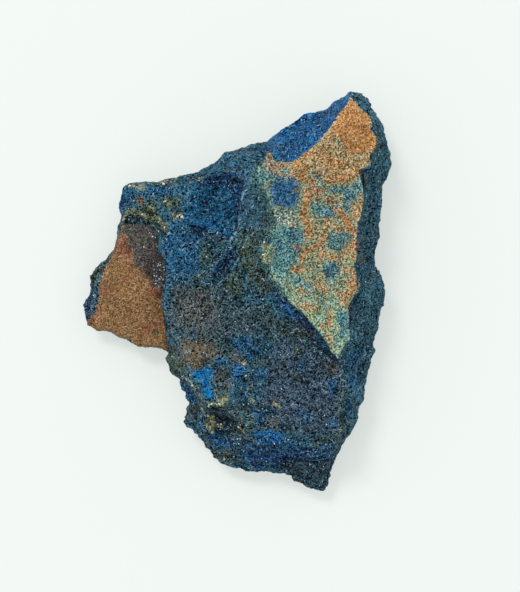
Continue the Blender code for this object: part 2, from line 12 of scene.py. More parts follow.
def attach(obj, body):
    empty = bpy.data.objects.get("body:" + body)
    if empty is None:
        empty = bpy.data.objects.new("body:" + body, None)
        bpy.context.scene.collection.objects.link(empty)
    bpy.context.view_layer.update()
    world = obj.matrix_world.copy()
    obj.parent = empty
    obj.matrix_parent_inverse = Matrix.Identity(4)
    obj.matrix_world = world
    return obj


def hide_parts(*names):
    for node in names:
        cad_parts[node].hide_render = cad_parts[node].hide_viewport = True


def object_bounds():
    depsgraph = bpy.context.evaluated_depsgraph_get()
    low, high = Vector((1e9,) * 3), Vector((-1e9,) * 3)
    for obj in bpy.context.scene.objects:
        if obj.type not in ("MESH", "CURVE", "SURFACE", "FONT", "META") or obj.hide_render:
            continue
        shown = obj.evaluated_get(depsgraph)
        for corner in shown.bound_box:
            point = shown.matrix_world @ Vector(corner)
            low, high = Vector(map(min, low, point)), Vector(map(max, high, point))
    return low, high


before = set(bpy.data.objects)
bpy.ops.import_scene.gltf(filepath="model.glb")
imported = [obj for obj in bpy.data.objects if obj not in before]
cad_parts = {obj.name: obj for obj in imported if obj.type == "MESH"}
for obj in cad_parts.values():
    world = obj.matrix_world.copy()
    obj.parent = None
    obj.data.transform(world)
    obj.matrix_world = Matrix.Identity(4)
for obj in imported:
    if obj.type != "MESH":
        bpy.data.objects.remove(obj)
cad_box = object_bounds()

# ---------------------------------------------------------------------------
# The stone's body. One broken piece of blue rock: a flat crust on top, a
# scooped hollow and stepped ledges beside it, and a thin plate low at one side.
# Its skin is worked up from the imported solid.
# ---------------------------------------------------------------------------
MM = 0.001
SAME_SPOT = 0.001 * MM
SKIN_MESH = 0.22 * MM
UNDER_HEIGHT = 3.2 * MM
UNDER_FACING = -0.45
UNDER_SHARE = 0.08


def pick(piece):
    """Make one object the only one selected, and the active one."""
    bpy.ops.object.select_all(action="DESELECT")
    piece.select_set(True)
    bpy.context.view_layer.objects.active = piece


def apply_modifier(piece, kind, settings):
    pick(piece)
    modifier = piece.modifiers.new(kind.title(), kind)
    for name, value in settings.items():
        setattr(modifier, name, value)
    bpy.ops.object.modifier_apply(modifier=modifier.name)


packed_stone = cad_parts["aerinite_specimen"]
stone = bpy.data.objects.new("broken_stone", packed_stone.data.copy())
bpy.context.scene.collection.objects.link(stone)
pick(stone)
bpy.ops.object.mode_set(mode="EDIT")
bpy.ops.mesh.select_all(action="SELECT")
bpy.ops.mesh.remove_doubles(threshold=SAME_SPOT)
bpy.ops.object.mode_set(mode="OBJECT")
apply_modifier(stone, "REMESH", {"mode": "VOXEL", "voxel_size": SKIN_MESH})
apply_modifier(stone, "SMOOTH", {"factor": 0.5, "iterations": 6})

# The side that it lies on shows little, so it keeps only a few faces.
bpy.ops.object.mode_set(mode="EDIT")
bpy.ops.mesh.select_mode(type="FACE")
bpy.ops.mesh.select_all(action="DESELECT")
bpy.ops.object.mode_set(mode="OBJECT")
for face in stone.data.polygons:
    face.select = face.normal.z < UNDER_FACING and face.center.z < UNDER_HEIGHT
bpy.ops.object.mode_set(mode="EDIT")
bpy.ops.mesh.decimate(ratio=UNDER_SHARE)
bpy.ops.object.mode_set(mode="OBJECT")


def corners(piece):
    """Every vertex of a piece as rows of x, y and z, in millimetres."""
    places = np.empty(len(piece.data.vertices) * 3)
    piece.data.vertices.foreach_get("co", places)
    return places.reshape(-1, 3) / MM


def facing(piece):
    """The way that the skin faces at every vertex, as rows of x, y and z."""
    normals = np.empty(len(piece.data.vertices) * 3)
    piece.data.vertices.foreach_get("normal", normals)
    return normals.reshape(-1, 3)


def ease(values):
    """0 below 0, 1 above 1 and a smooth rise between them."""
    values = np.clip(values, 0.0, 1.0)
    return values * values * (3.0 - 2.0 * values)


def distance_to_line(places, line):
    """How far each place is from a drawn line, in plan, in millimetres."""
    nearest = np.full(len(places), 1e9)
    for start, end in zip(line[:-1], line[1:]):
        start = np.array(start)
        along = np.array(end) - start
        share = ((places[:, :2] - start) @ along) / max(along @ along, 1e-9)
        share = np.clip(share, 0.0, 1.0)
        away = places[:, :2] - (start + share[:, None] * along)
        nearest = np.minimum(nearest, np.hypot(away[:, 0], away[:, 1]))
    return nearest


def depth_in_outline(places, outline):
    """Distance from a closed outline, positive inside it."""
    closed = list(outline) + [outline[0]]
    inside = np.zeros(len(places), bool)
    x, y = places[:, 0], places[:, 1]
    for (ax, ay), (bx, by) in zip(closed[:-1], closed[1:]):
        if ay == by:
            continue
        crosses = (ay > y) != (by > y)
        inside ^= crosses & (x < ax + (y - ay) / (by - ay) * (bx - ax))
    edge = distance_to_line(places, closed)
    return np.where(inside, edge, -edge)


# Patches of the stone's skin as outlines in plan, in millimetres.
PATCHES = {
    "crust": [[
        (22.3, 38.4), (23.3, 37.1), (24.9, 35.5), (26.1, 34.8), (26.7, 32.6), (26.1, 31.8), (27.6, 30.2),
        (27.6, 28.7), (26.2, 26.8), (25.8, 26.0), (26.2, 25.0), (24.1, 23.8), (24.4, 22.2), (24.7, 20.5),
        (24.8, 18.0), (24.3, 15.1), (23.6, 13.5), (23.5, 6.3), (22.9, 5.1), (23.6, 4.1), (24.0, 1.7),
        (23.8, 0.3), (22.3, -1.9), (22.0, -4.1), (22.0, -8.1), (22.4, -9.1), (20.8, -10.9), (19.8, -13.0),
        (18.4, -11.7), (17.6, -9.7), (16.0, -7.5), (12.8, -3.9), (10.2, -1.7), (9.6, -0.5), (7.4, 2.7),
        (6.4, 5.1), (5.2, 6.2), (4.7, 7.6), (5.6, 9.2), (7.0, 10.0), (7.0, 12.4), (7.6, 14.2),
        (6.9, 16.4), (5.8, 18.6), (5.2, 20.8), (4.0, 22.4), (4.2, 24.4), (5.4, 25.6), (5.8, 27.9),
        (6.8, 27.9), (7.4, 26.2), (8.7, 25.5), (10.1, 25.3), (12.2, 26.2), (14.1, 27.7), (15.9, 29.5),
        (17.8, 31.6), (19.4, 34.0), (20.4, 35.8), (21.5, 36.9),
    ]],
    "ochre": [[
        (20.0, 36.0), (21.2, 37.2), (22.3, 38.6), (24.2, 36.3), (26.3, 34.9), (26.4, 32.4), (27.9, 30.2),
        (27.5, 28.3), (26.4, 27.0), (24.6, 26.8), (23.0, 26.8), (21.6, 27.3), (20.4, 28.6), (19.4, 30.2),
        (17.8, 31.2), (19.2, 34.0),
    ]],
    "tawny": [
        [(15.6, 29.6), (17.6, 31.6), (19.2, 30.0), (20.4, 27.6), (22.8, 26.9), (26.4, 27.0), (25.9, 25.0),
         (24.1, 24.0), (23.9, 22.8), (22.4, 21.5), (20.0, 21.2), (17.4, 21.2), (16.6, 22.4), (14.2, 23.0),
         (12.2, 21.4), (11.4, 22.6), (10.3, 24.0), (10.2, 25.4), (12.2, 26.3), (14.1, 27.8)],
        [(22.6, 17.4), (23.6, 18.2), (24.6, 19.4), (24.8, 15.4), (23.8, 13.6), (22.4, 14.6),
         (22.2, 16.0)],
        [(20.6, 9.0), (23.6, 10.4), (23.6, 6.6), (20.8, 6.6)],
        [(12.6, 21.6), (14.6, 20.8), (16.6, 19.4), (14.6, 18.2), (12.8, 18.8)],
    ],
    "amber": [[
        (20.4, 4.7), (22.0, 5.0), (23.4, 3.9), (24.1, 2.2), (23.9, 0.6), (22.8, -0.5), (22.1, -1.7),
        (21.9, -3.2), (20.8, -2.7), (20.0, -1.3), (19.1, -0.2), (19.4, 0.6), (20.6, 0.1), (21.6, 0.7),
        (21.5, 2.0), (22.0, 3.1), (21.4, 3.8), (20.4, 3.7),
    ]],
    "rust": [
        [(5.8, 25.5), (7.2, 25.6), (10.3, 25.4), (10.4, 24.0), (8.0, 23.8), (6.0, 24.0), (5.4, 24.7)],
        [(5.8, 27.8), (6.9, 27.8), (7.3, 26.6), (7.2, 25.2), (5.9, 25.2)],
        [(17.6, 18.4), (18.8, 18.6), (19.3, 17.6), (18.4, 17.1), (17.6, 17.5)],
        [(-19.6, 19.2), (-18.6, 19.4), (-18.0, 18.0), (-18.6, 16.9), (-19.6, 17.4)],
    ],
    "tan": [[
        (12.6, 20.0), (16.0, 21.0), (24.4, 22.0), (24.8, 16.0), (23.6, 6.0), (24.0, 0.0), (18.6, 1.4),
        (15.4, -1.6), (12.0, -2.6), (11.2, 0.2), (13.0, 4.0), (13.0, 8.0), (12.4, 13.0),
    ]],
    "verdigris": [
        [(14.6, 22.6), (14.9, 23.6), (15.8, 24.2), (16.4, 23.4), (16.6, 22.4), (16.8, 21.6), (16.6, 20.8),
         (15.9, 21.2), (15.8, 22.0)],
        [(19.9, 25.8), (20.7, 26.0), (21.0, 25.0), (20.2, 24.8)],
        [(24.4, 26.2), (25.6, 26.4), (25.8, 25.5), (24.6, 25.4)],
        [(12.4, 25.9), (13.6, 26.2), (13.9, 25.2), (12.8, 24.9)],
        [(12.4, 21.2), (13.4, 21.5), (14.4, 20.8), (13.4, 20.2), (12.4, 20.4)],
        [(17.2, 20.2), (18.2, 19.2), (19.4, 19.6), (20.6, 18.8), (21.4, 17.4), (22.6, 17.2), (24.3, 19.0),
         (24.8, 21.2), (24.2, 22.6), (23.2, 21.4), (21.4, 20.5), (19.6, 20.9), (18.0, 20.9)],
        [(14.4, 17.4), (16.4, 17.3), (17.8, 16.6), (19.6, 17.0), (20.2, 16.0), (19.2, 14.8), (17.4, 14.3),
         (15.6, 14.8), (14.5, 16.0)],
        [(18.0, 11.8), (20.0, 12.0), (22.0, 11.6), (22.6, 9.8), (20.4, 8.2), (18.2, 8.4), (17.2, 9.2)],
        [(7.0, 12.4), (9.6, 12.9), (12.6, 13.0), (13.4, 11.2), (12.6, 8.4), (11.8, 6.4), (10.4, 4.6),
         (10.0, 2.6), (8.4, 2.8), (7.0, 4.6), (6.8, 6.4), (7.2, 8.0), (7.0, 10.2)],
        [(19.6, 16.8), (21.4, 17.4), (22.6, 16.6), (22.2, 15.0), (20.6, 15.2)],
        [(10.2, 3.2), (12.4, 3.2), (13.4, 1.8), (15.0, 1.4), (15.2, 0.5), (13.0, 0.7), (11.2, 1.6)],
        [(17.2, 6.0), (19.8, 6.4), (20.0, 4.4), (19.7, 2.4), (18.4, 1.9), (17.0, 2.6), (17.0, 4.4)],
        [(19.8, -3.2), (21.8, -3.6), (21.9, -8.2), (20.6, -8.8), (20.0, -7.0), (19.4, -5.0)],
        [(18.9, -8.4), (20.2, -8.8), (20.0, -10.6), (18.8, -10.0)],
        [(2.4, 24.0), (5.2, 23.8), (9.8, 23.0), (7.0, 21.6), (2.4, 21.2)],
    ],
    "mint": [[
        (9.6, -0.4), (12.8, 0.8), (15.0, -0.6), (18.6, -0.6), (22.0, -3.6), (22.0, -8.6), (20.2, -12.4),
        (17.6, -9.8), (15.4, -7.0), (12.6, -3.8),
    ]],
    "deep teal": [
        [(17.4, 16.0), (18.8, 16.4), (19.4, 15.6), (18.4, 14.6), (17.4, 14.8)],
        [(21.0, 19.6), (23.0, 19.4), (22.8, 18.0), (21.2, 17.6)],
        [(17.4, 5.6), (19.6, 6.0), (19.6, 3.6), (18.4, 2.4), (17.4, 3.4)],
        [(9.8, 11.8), (11.6, 12.2), (12.8, 11.0), (11.6, 9.6), (10.0, 10.2)],
        [(7.4, 9.6), (9.0, 10.0), (9.6, 8.4), (8.0, 7.8)],
        [(20.4, -5.0), (21.6, -5.2), (21.5, -7.6), (20.4, -7.4)],
    ],
    "fringe": [
        [(2.6, 24.8), (5.6, 26.2), (8.0, 24.0), (9.0, 21.0), (9.0, 8.0), (6.6, 6.0), (4.4, 6.0),
         (4.2, 8.2), (5.4, 10.2), (6.4, 13.6), (5.4, 16.4), (4.0, 19.6), (2.4, 20.6)],
        [(4.4, 6.4), (7.4, 6.4), (9.6, 3.0), (12.0, -0.4), (14.0, -3.0), (12.8, -4.6), (9.4, -2.0),
         (6.4, 2.0)],
    ],
    "scoop": [[
        (-9.0, 21.0), (-6.2, 22.2), (-3.2, 22.0), (0.0, 21.4), (0.4, 18.0), (0.0, 14.6), (-1.6, 12.0),
        (-4.6, 11.8), (-8.0, 13.0), (-11.0, 14.6), (-10.6, 17.4), (-9.6, 19.4),
    ]],
    "blue window": [[
        (7.6, 21.9), (9.4, 22.2), (11.4, 22.0), (12.1, 20.8), (12.2, 18.8), (11.6, 17.1), (10.4, 16.3),
        (8.6, 16.3), (7.2, 17.0), (6.4, 18.4), (6.4, 20.2),
    ]],
    "grey ridge": [[
        (1.6, 20.4), (4.0, 21.0), (5.8, 20.2), (6.6, 17.4), (6.0, 14.2), (4.4, 12.6), (1.4, 12.4),
        (0.9, 14.0), (1.6, 16.4),
    ]],
    "brown ridge": [
        [(5.8, 16.6), (6.9, 16.8), (7.5, 14.0), (7.3, 11.0), (5.6, 10.4), (4.6, 11.6), (5.2, 13.6)],
        [(-4.0, -15.0), (-1.6, -15.0), (-1.2, -18.6), (-3.6, -19.4), (-4.6, -17.4)],
        [(-7.4, -8.0), (-3.0, -8.0), (-2.6, -12.0), (-5.4, -13.4), (-6.4, -11.0)],
    ],
    "right face": [[
        (20.0, 40.0), (32.0, 42.0), (32.0, -30.0), (21.6, -28.0), (21.0, -10.0), (24.6, 6.0),
        (25.6, 20.0), (27.4, 30.0),
    ]],
    "tip": [[
        (8.6, -33.4), (12.4, -32.6), (18.4, -33.4), (19.4, -39.0), (17.0, -41.4), (8.6, -38.4),
    ]],
    "middle": [[
        (-12.6, 1.0), (-7.0, 2.4), (-2.6, 0.6), (2.0, -2.0), (8.0, -4.0), (7.0, -8.0), (0.0, -9.0),
        (-8.0, -8.0), (-13.0, -9.0),
    ]],
    "frost and glints": [[
        (7.2, 15.9), (8.4, 16.3), (10.4, 16.1), (11.8, 15.4), (11.2, 13.9), (9.6, 13.1), (8.0, 13.1),
        (7.1, 14.6),
    ]],
    "plate skin": [[
        (-24.8, 14.4), (-26.0, 12.4), (-26.2, 10.4), (-26.2, 8.8), (-25.8, 6.7), (-26.1, 5.2),
        (-26.7, 3.4), (-27.4, 1.7), (-27.5, 0.0), (-27.7, -1.5), (-28.0, -3.0), (-28.6, -4.3),
        (-29.4, -5.0), (-30.2, -6.0), (-29.4, -7.6), (-26.0, -8.5), (-24.2, -9.5), (-22.0, -10.2),
        (-20.0, -11.4), (-15.0, -11.9), (-13.3, -12.0), (-13.3, -9.0), (-13.9, -6.2), (-14.4, -3.5),
        (-14.6, -1.5), (-14.5, 0.5), (-14.3, 2.0), (-14.0, 4.0), (-13.9, 6.0), (-14.4, 7.4), (-15.4, 8.4),
        (-15.8, 10.0), (-15.9, 11.8), (-17.0, 13.0), (-20.0, 13.6), (-22.0, 13.8),
    ]],
    "plate warm": [[
        (-24.4, 11.4), (-22.8, 11.3), (-22.1, 10.0), (-21.2, 8.4), (-20.4, 6.8), (-19.4, 5.2),
        (-18.3, 3.4), (-17.0, 1.6), (-16.0, 0.8), (-15.0, 0.4), (-13.4, -0.4), (-12.8, -4.0),
        (-12.8, -12.2), (-20.0, -11.8), (-24.4, -9.9), (-30.6, -7.8), (-30.0, -2.0), (-28.6, 1.2),
        (-26.6, 5.4), (-25.0, 8.0),
    ]],
    "plate red": [
        [(-24.2, 11.2), (-22.8, 11.0), (-21.2, 8.2), (-20.0, 5.8), (-20.8, 4.6), (-22.6, 7.2),
         (-24.6, 8.6)],
        [(-17.0, 1.6), (-15.8, 0.8), (-15.4, -0.8), (-16.6, -1.0), (-17.4, 0.4)],
        [(-18.8, -7.0), (-17.6, -6.8), (-16.9, -8.0), (-18.4, -8.6)],
        [(-27.2, 1.0), (-26.4, 0.6), (-27.0, -3.0), (-28.6, -6.6), (-29.8, -6.4), (-28.0, -3.4)],
        [(-16.6, -4.8), (-15.4, -5.0), (-15.6, -6.2), (-16.8, -6.0)],
    ],
    "plate dark and rim shadow": [
        [(-20.0, 8.4), (-18.4, 9.0), (-16.4, 9.4), (-15.4, 7.8), (-14.2, 6.4), (-14.0, 3.8), (-14.4, 1.8),
         (-15.6, 1.4), (-17.0, 2.4), (-18.2, 4.2), (-19.4, 6.0)],
        # Painted shadow under the rim above the plate's upper end.
        [(-22.0, 15.4), (-20.6, 15.6), (-18.4, 15.4), (-17.4, 14.0), (-18.2, 13.2), (-20.6, 13.2),
         (-21.8, 13.8)],
        [(-15.8, -0.2), (-14.6, 0.4), (-14.6, -2.4), (-15.4, -2.2)],
    ],
    "azure": [[
        (-8.8, -15.9), (-8.0, -15.3), (-6.5, -15.0), (-5.7, -14.2), (-4.6, -14.2), (-4.6, -15.5),
        (-5.2, -16.6), (-5.3, -18.0), (-5.0, -19.2), (-4.1, -20.0), (-4.5, -20.9), (-6.0, -20.5),
        (-6.8, -19.3), (-7.1, -17.7), (-7.9, -16.9),
    ]],
    "azure spots": [
        [(-1.0, -14.2), (0.5, -14.0), (1.5, -14.8), (1.8, -15.8), (0.4, -16.7), (-0.7, -16.4)],
        [(-3.8, -12.4), (-2.2, -12.4), (-2.0, -13.6), (-3.5, -13.7)],
        [(3.9, -27.3), (6.4, -27.0), (8.6, -27.8), (8.2, -29.4), (5.4, -29.3), (4.0, -28.6)],
        [(8.6, -0.5), (10.0, -1.8), (11.8, -3.4), (11.4, -4.0), (9.8, -2.8), (8.5, -1.2)],
    ],
    "cobalt": [
        [(-0.4, -9.0), (1.6, -8.6), (4.4, -9.6), (5.2, -11.0), (3.6, -12.8), (1.6, -13.2), (0.8, -11.6),
         (-0.4, -10.8)],
        [(2.9, -14.9), (5.4, -14.8), (6.2, -15.6), (5.4, -16.8), (3.4, -17.0)],
        [(-6.8, -27.6), (-4.0, -28.6), (-0.6, -29.6), (-0.2, -31.0), (-3.0, -30.6), (-6.2, -29.6)],
        [(3.8, -22.9), (5.6, -22.8), (5.9, -24.4), (5.4, -25.7), (3.9, -25.4)],
        [(12.0, -23.2), (13.6, -22.7), (15.0, -23.9), (14.4, -25.2), (12.4, -24.9)],
        [(17.9, -16.6), (19.4, -16.8), (19.3, -19.8), (18.2, -19.8)],
        [(18.4, -25.0), (19.6, -25.0), (19.6, -26.6), (18.4, -26.4)],
        [(0.4, -17.6), (1.8, -17.6), (1.8, -19.0), (0.4, -19.0)],
        [(3.6, -27.2), (6.4, -26.8), (8.8, -27.4), (11.6, -28.4), (12.0, -30.2), (8.4, -30.4),
         (4.0, -29.8), (3.2, -28.4)],
        [(-13.6, 11.6), (-10.4, 12.4), (-8.8, 12.0), (-7.4, 10.2), (-7.4, 6.5), (-7.8, 4.4), (-9.4, 3.2),
         (-12.4, 3.0), (-14.0, 3.6), (-14.2, 6.6), (-15.0, 9.4)],
        [(-3.4, 13.4), (-0.4, 13.2), (-0.6, 10.9), (-3.0, 10.2), (-5.6, 10.8), (-5.8, 12.4)],
        [(10.8, -13.8), (13.0, -13.4), (14.4, -14.4), (12.6, -15.2)],
        [(21.4, -10.6), (25.0, -10.4), (25.4, -14.0), (24.4, -17.2), (23.2, -19.0), (21.8, -17.4)],
        [(21.4, -21.6), (23.0, -22.0), (22.6, -24.4), (21.4, -24.0)],
        [(-23.4, 21.0), (-20.4, 21.2), (-19.8, 19.2), (-21.0, 17.6), (-23.4, 17.0)],
        [(-17.4, 21.0), (-13.0, 21.2), (-12.8, 19.6), (-15.6, 19.4), (-17.4, 19.6)],
    ],
    "blue facet": [[
        (4.2, 30.4), (7.6, 32.8), (12.8, 36.4), (17.6, 38.4), (21.2, 40.6), (22.9, 38.0), (21.2, 35.2),
        (20.2, 33.4), (18.6, 31.0), (16.6, 28.8), (14.7, 26.9), (12.5, 25.3), (10.1, 24.4), (6.9, 24.8),
        (6.4, 27.2), (5.0, 28.2),
    ]],
    "navy": [
        # The first three outlines, on the scoop's upper wall, the ledge below it and the gully, are navy
        # darkened partly as painted shade.
        [(-6.6, 23.0), (-3.0, 23.6), (0.6, 23.6), (1.4, 21.4), (1.4, 17.2), (0.9, 14.8), (0.0, 14.4),
         (-0.8, 16.2), (-0.2, 18.6), (-0.8, 20.8), (-3.2, 21.6), (-6.2, 21.6)],
        [(-10.2, 14.2), (-7.0, 14.2), (-4.4, 13.6), (-5.8, 12.0), (-6.6, 11.4), (-8.8, 12.6)],
        [(-0.2, 7.9), (0.0, 6.2), (-1.4, 4.8), (-3.0, 3.2), (-4.2, 2.6), (-4.8, 4.4), (-3.6, 6.0),
         (-2.2, 7.6), (-1.2, 8.8)],
        [(1.0, -30.0), (4.4, -29.9), (8.0, -30.4), (12.0, -30.2), (18.6, -30.6), (19.6, -31.4),
         (18.6, -33.2), (16.5, -33.3), (11.0, -33.2), (9.8, -34.6), (8.0, -35.0), (2.0, -34.6),
         (1.0, -32.6)],
        [(-7.0, -27.6), (-4.0, -27.8), (-1.2, -29.0), (0.9, -29.9), (-2.2, -30.7), (-5.0, -29.8)],
        [(-11.4, -17.2), (-9.4, -17.6), (-8.2, -18.8), (-8.0, -21.8), (-9.6, -22.2), (-11.4, -20.4)],
        [(7.6, 0.0), (8.4, 0.4), (10.2, -1.9), (13.2, -4.2), (14.8, -6.6), (13.6, -7.0), (12.0, -6.2),
         (9.4, -3.4)],
        [(-23.8, 19.0), (-22.6, 19.2), (-21.4, 17.4), (-22.8, 16.0), (-24.0, 16.4)],
        [(15.6, -34.2), (18.4, -34.2), (18.2, -35.8), (15.8, -35.6)],
    ],
    "ink and shade": [
        # The first three outlines, on the scoop's upper wall, the ledge and the gully, are painted shade;
        # the others are dark rock.
        [(-6.6, 23.0), (-3.0, 23.6), (0.6, 23.6), (1.4, 21.4), (1.4, 17.2), (0.9, 14.8), (0.0, 14.4),
         (-0.8, 16.2), (-0.2, 18.6), (-0.8, 20.4), (-3.2, 21.0), (-6.2, 21.2)],
        [(-9.8, 13.6), (-7.0, 13.6), (-4.4, 13.0), (-5.8, 12.0), (-6.6, 11.4), (-8.8, 12.4)],
        [(-0.2, 7.9), (0.0, 6.2), (-1.4, 4.8), (-3.0, 3.2), (-4.2, 2.6), (-4.8, 4.4), (-3.6, 6.0),
         (-2.2, 7.6), (-1.2, 8.8)],
        [(12.0, -4.6), (14.6, -5.4), (18.2, -10.8), (19.8, -13.2), (18.2, -13.0), (15.0, -9.4),
         (12.4, -6.8)],
        [(8.4, -33.2), (14.0, -32.8), (18.4, -33.6), (18.0, -36.0), (14.0, -36.6), (9.0, -35.6)],
        [(-31.6, -4.0), (-32.0, -1.0), (-30.0, 1.4), (-27.7, 1.0), (-28.2, -2.4), (-29.6, -5.0)],
    ],
    "drab": [
        [(-11.4, 0.6), (-6.4, 1.0), (-3.0, -1.6), (-3.6, -5.4), (-7.4, -7.4), (-11.6, -5.6)],
        [(-3.6, -15.0), (-2.0, -15.0), (-1.6, -18.2), (-3.2, -18.8)],
    ],
    "teal": [
        [(-4.0, 27.4), (5.8, 30.6), (6.0, 28.2), (5.6, 26.0), (2.3, 24.4), (0.0, 23.7), (-5.5, 23.2),
         (-8.0, 24.2)],
        [(-20.4, 20.6), (-15.0, 20.8), (-9.4, 22.0), (-10.4, 19.0), (-14.0, 19.4), (-17.6, 19.0),
         (-20.2, 19.0)],
        [(-14.4, 14.2), (-12.8, 14.6), (-10.4, 14.2), (-12.6, 11.6), (-14.8, 10.8), (-15.2, 12.0)],
    ],
    "slate": [
        [(-31.5, -6.0), (-29.2, -5.0), (-27.6, 1.4), (-24.6, 8.2), (-25.0, 9.0), (-31.0, 4.0)],
        [(1.4, 20.4), (6.2, 18.6), (6.6, 16.6), (7.0, 12.8), (4.0, 12.4), (1.4, 13.6), (0.9, 16.4)],
        [(8.0, -9.0), (15.0, -9.8), (19.6, -14.0), (20.4, -18.0), (20.2, -27.0), (14.0, -28.4),
         (9.0, -27.0), (5.0, -21.0), (6.0, -14.0)],
        [(-13.4, -1.0), (-9.0, -2.0), (-3.0, -4.0), (2.0, -4.6), (4.0, -7.6), (-2.0, -8.6), (-8.0, -6.6),
         (-13.4, -7.0)],
    ],
    "olive": [
        [(0.2, 12.0), (4.0, 12.4), (5.4, 11.0), (4.8, 8.8), (4.8, 6.4), (6.2, 4.2), (6.6, 1.6),
         (5.2, -1.0), (3.4, 0.6), (1.8, 2.8), (0.5, 4.6), (0.4, 8.4)],
        [(-2.8, 2.6), (-1.4, 4.4), (0.4, 4.6), (1.8, 2.8), (1.6, 0.2), (-0.4, -0.6), (-2.6, 0.4)],
        [(-7.0, 9.4), (-5.4, 9.2), (-5.0, 6.4), (-6.0, 4.8), (-7.0, 6.6)],
        [(-16.6, -11.0), (-13.4, -10.6), (-11.6, -12.0), (-9.6, -14.6), (-9.8, -16.2), (-12.2, -18.0),
         (-16.8, -15.0)],
        [(-31.4, 1.2), (-30.0, 5.0), (-26.2, 8.2), (-25.6, 6.6), (-26.9, 3.0), (-28.0, 0.8)],
        [(-14.4, 18.6), (-11.6, 19.0), (-10.2, 18.8), (-10.0, 16.2), (-13.2, 16.4), (-15.6, 17.4)],
        [(-20.4, 18.4), (-16.0, 17.0), (-14.6, 14.0), (-15.2, 11.4), (-17.0, 12.6), (-19.4, 15.4)],
        [(20.1, -17.2), (21.0, -17.6), (21.3, -20.4), (21.2, -28.0), (20.0, -28.4), (20.0, -24.0)],
        [(6.6, -6.0), (9.6, -5.6), (10.6, -7.0), (8.0, -8.2)],
        [(-2.6, -9.8), (-1.0, -9.6), (-0.6, -11.4), (-2.2, -11.8)],
        [(11.0, -10.6), (12.4, -10.4), (12.6, -12.6), (11.4, -12.8)],
    ],
    "umber": [
        [(-11.6, -9.8), (-9.6, -8.8), (-6.4, -9.4), (-4.6, -10.8), (-3.8, -12.4), (-5.4, -13.4),
         (-7.0, -14.6), (-8.6, -15.2), (-10.2, -14.0), (-11.4, -12.2)],
        [(12.0, -6.2), (13.4, -6.4), (14.2, -7.8), (12.8, -8.2)],
        [(5.8, -24.8), (7.4, -24.8), (7.6, -26.2), (6.0, -26.5)],
        [(-0.8, -12.4), (0.6, -12.4), (0.6, -13.6), (-0.6, -13.6)],
        [(18.2, -14.0), (19.6, -14.0), (19.6, -15.6), (18.6, -15.6)],
    ],
    "shade": [
        [(-6.2, -22.6), (-2.0, -22.3), (0.0, -23.8), (1.8, -25.4), (2.3, -27.2), (0.6, -28.4),
         (-1.4, -28.4), (-3.6, -27.3), (-6.0, -27.0), (-6.6, -25.0)],
        [(-10.8, -24.8), (-9.6, -22.2), (-8.0, -22.0), (-7.4, -24.0), (-8.2, -26.6), (-10.0, -26.4)],
        [(-23.4, 15.9), (-21.4, 16.6), (-19.0, 16.2), (-18.0, 14.8), (-19.4, 13.8), (-23.2, 13.9)],
        [(-5.8, -30.8), (-2.0, -31.0), (0.6, -31.0), (-0.6, -33.0), (-4.0, -33.8), (-6.0, -32.0)],
        [(9.8, -5.6), (12.4, -6.2), (14.6, -8.6), (12.8, -9.0), (9.8, -7.6)],
        [(10.0, -15.0), (12.0, -16.0), (14.2, -18.0), (12.4, -18.0), (10.2, -16.4)],
    ],
}

# Veins and small spots in the crust, and a green spot on the plate: lines in plan
# and their half width.
VEINS = {
    "ochre": [
        ([(11.6, 25.2), (12.8, 24.7), (13.2, 24.0), (12.2, 23.4), (11.6, 23.0)], 0.50),
        ([(11.6, 22.7), (13.0, 22.3), (14.2, 21.7), (15.0, 21.0)], 0.42),
        ([(13.4, 27.5), (13.9, 26.7)], 0.50), ([(17.4, 22.2), (18.0, 21.4)], 0.35),
        ([(16.4, 26.8), (17.4, 25.6), (19.0, 25.6), (20.0, 24.8), (19.0, 23.9), (17.4, 24.4)], 0.55),
        ([(20.0, 22.2), (21.4, 22.6), (22.8, 23.2), (23.6, 24.0)], 0.62),
        ([(13.8, 18.8), (13.3, 17.2), (13.0, 15.6), (13.4, 14.2), (14.2, 13.2), (14.3, 12.2)], 0.60),
        ([(19.8, 15.8), (20.9, 14.8), (21.4, 13.6), (22.4, 12.4), (23.2, 11.4)], 0.60),
        ([(17.9, 13.9), (17.4, 12.6), (16.8, 11.6), (17.2, 10.4), (16.2, 9.4), (15.0, 9.0), (14.0, 8.2),
          (13.2, 7.6), (12.9, 6.2), (12.6, 5.0), (11.3, 4.4)], 0.40),
        ([(17.6, 12.4), (18.6, 12.8), (19.8, 12.4)], 0.28),
        ([(16.0, 7.8), (17.2, 7.1), (18.6, 6.9), (19.4, 6.6)], 0.26),
        ([(13.6, 11.4), (14.4, 10.6)], 0.22), ([(15.7, 1.5), (16.5, 2.0), (16.2, 3.2)], 0.26),
        ([(16.8, 1.0), (17.3, 0.4)], 0.24), ([(12.5, 0.6), (12.7, -1.4)], 0.36),
        ([(14.4, -2.4), (15.2, -2.6)], 0.38), ([(12.9, -1.6), (12.9, -2.4)], 0.30),
        ([(17.8, -4.0), (18.2, -5.6), (18.0, -6.4)], 0.32), ([(16.4, -6.4), (16.9, -6.4)], 0.32),
        ([(17.8, -8.2), (18.3, -9.2)], 0.34), ([(23.3, 9.8), (23.4, 8.0), (23.4, 6.8)], 0.40),
    ],
    "rust": [
        ([(7.4, 23.3), (9.0, 22.9), (10.4, 22.8)], 0.26),
        ([(15.0, 20.3), (16.2, 19.7), (17.0, 20.2), (18.0, 20.1)], 0.26),
        ([(14.8, 19.0), (15.6, 18.4)], 0.26), ([(11.4, 8.9), (12.0, 8.8)], 0.55),
        ([(10.4, 13.3), (10.9, 13.1)], 0.38), ([(20.6, 1.5), (20.9, 1.3)], 0.34),
        ([(22.6, 12.2), (23.2, 11.5)], 0.34),
    ],
    "green spot": [
        ([(-16.2, -7.9), (-16.0, -8.0)], 0.50),
    ],
    "teal spot": [
        ([(-16.1, -7.9), (-16.0, -7.9)], 0.18),
    ],
}

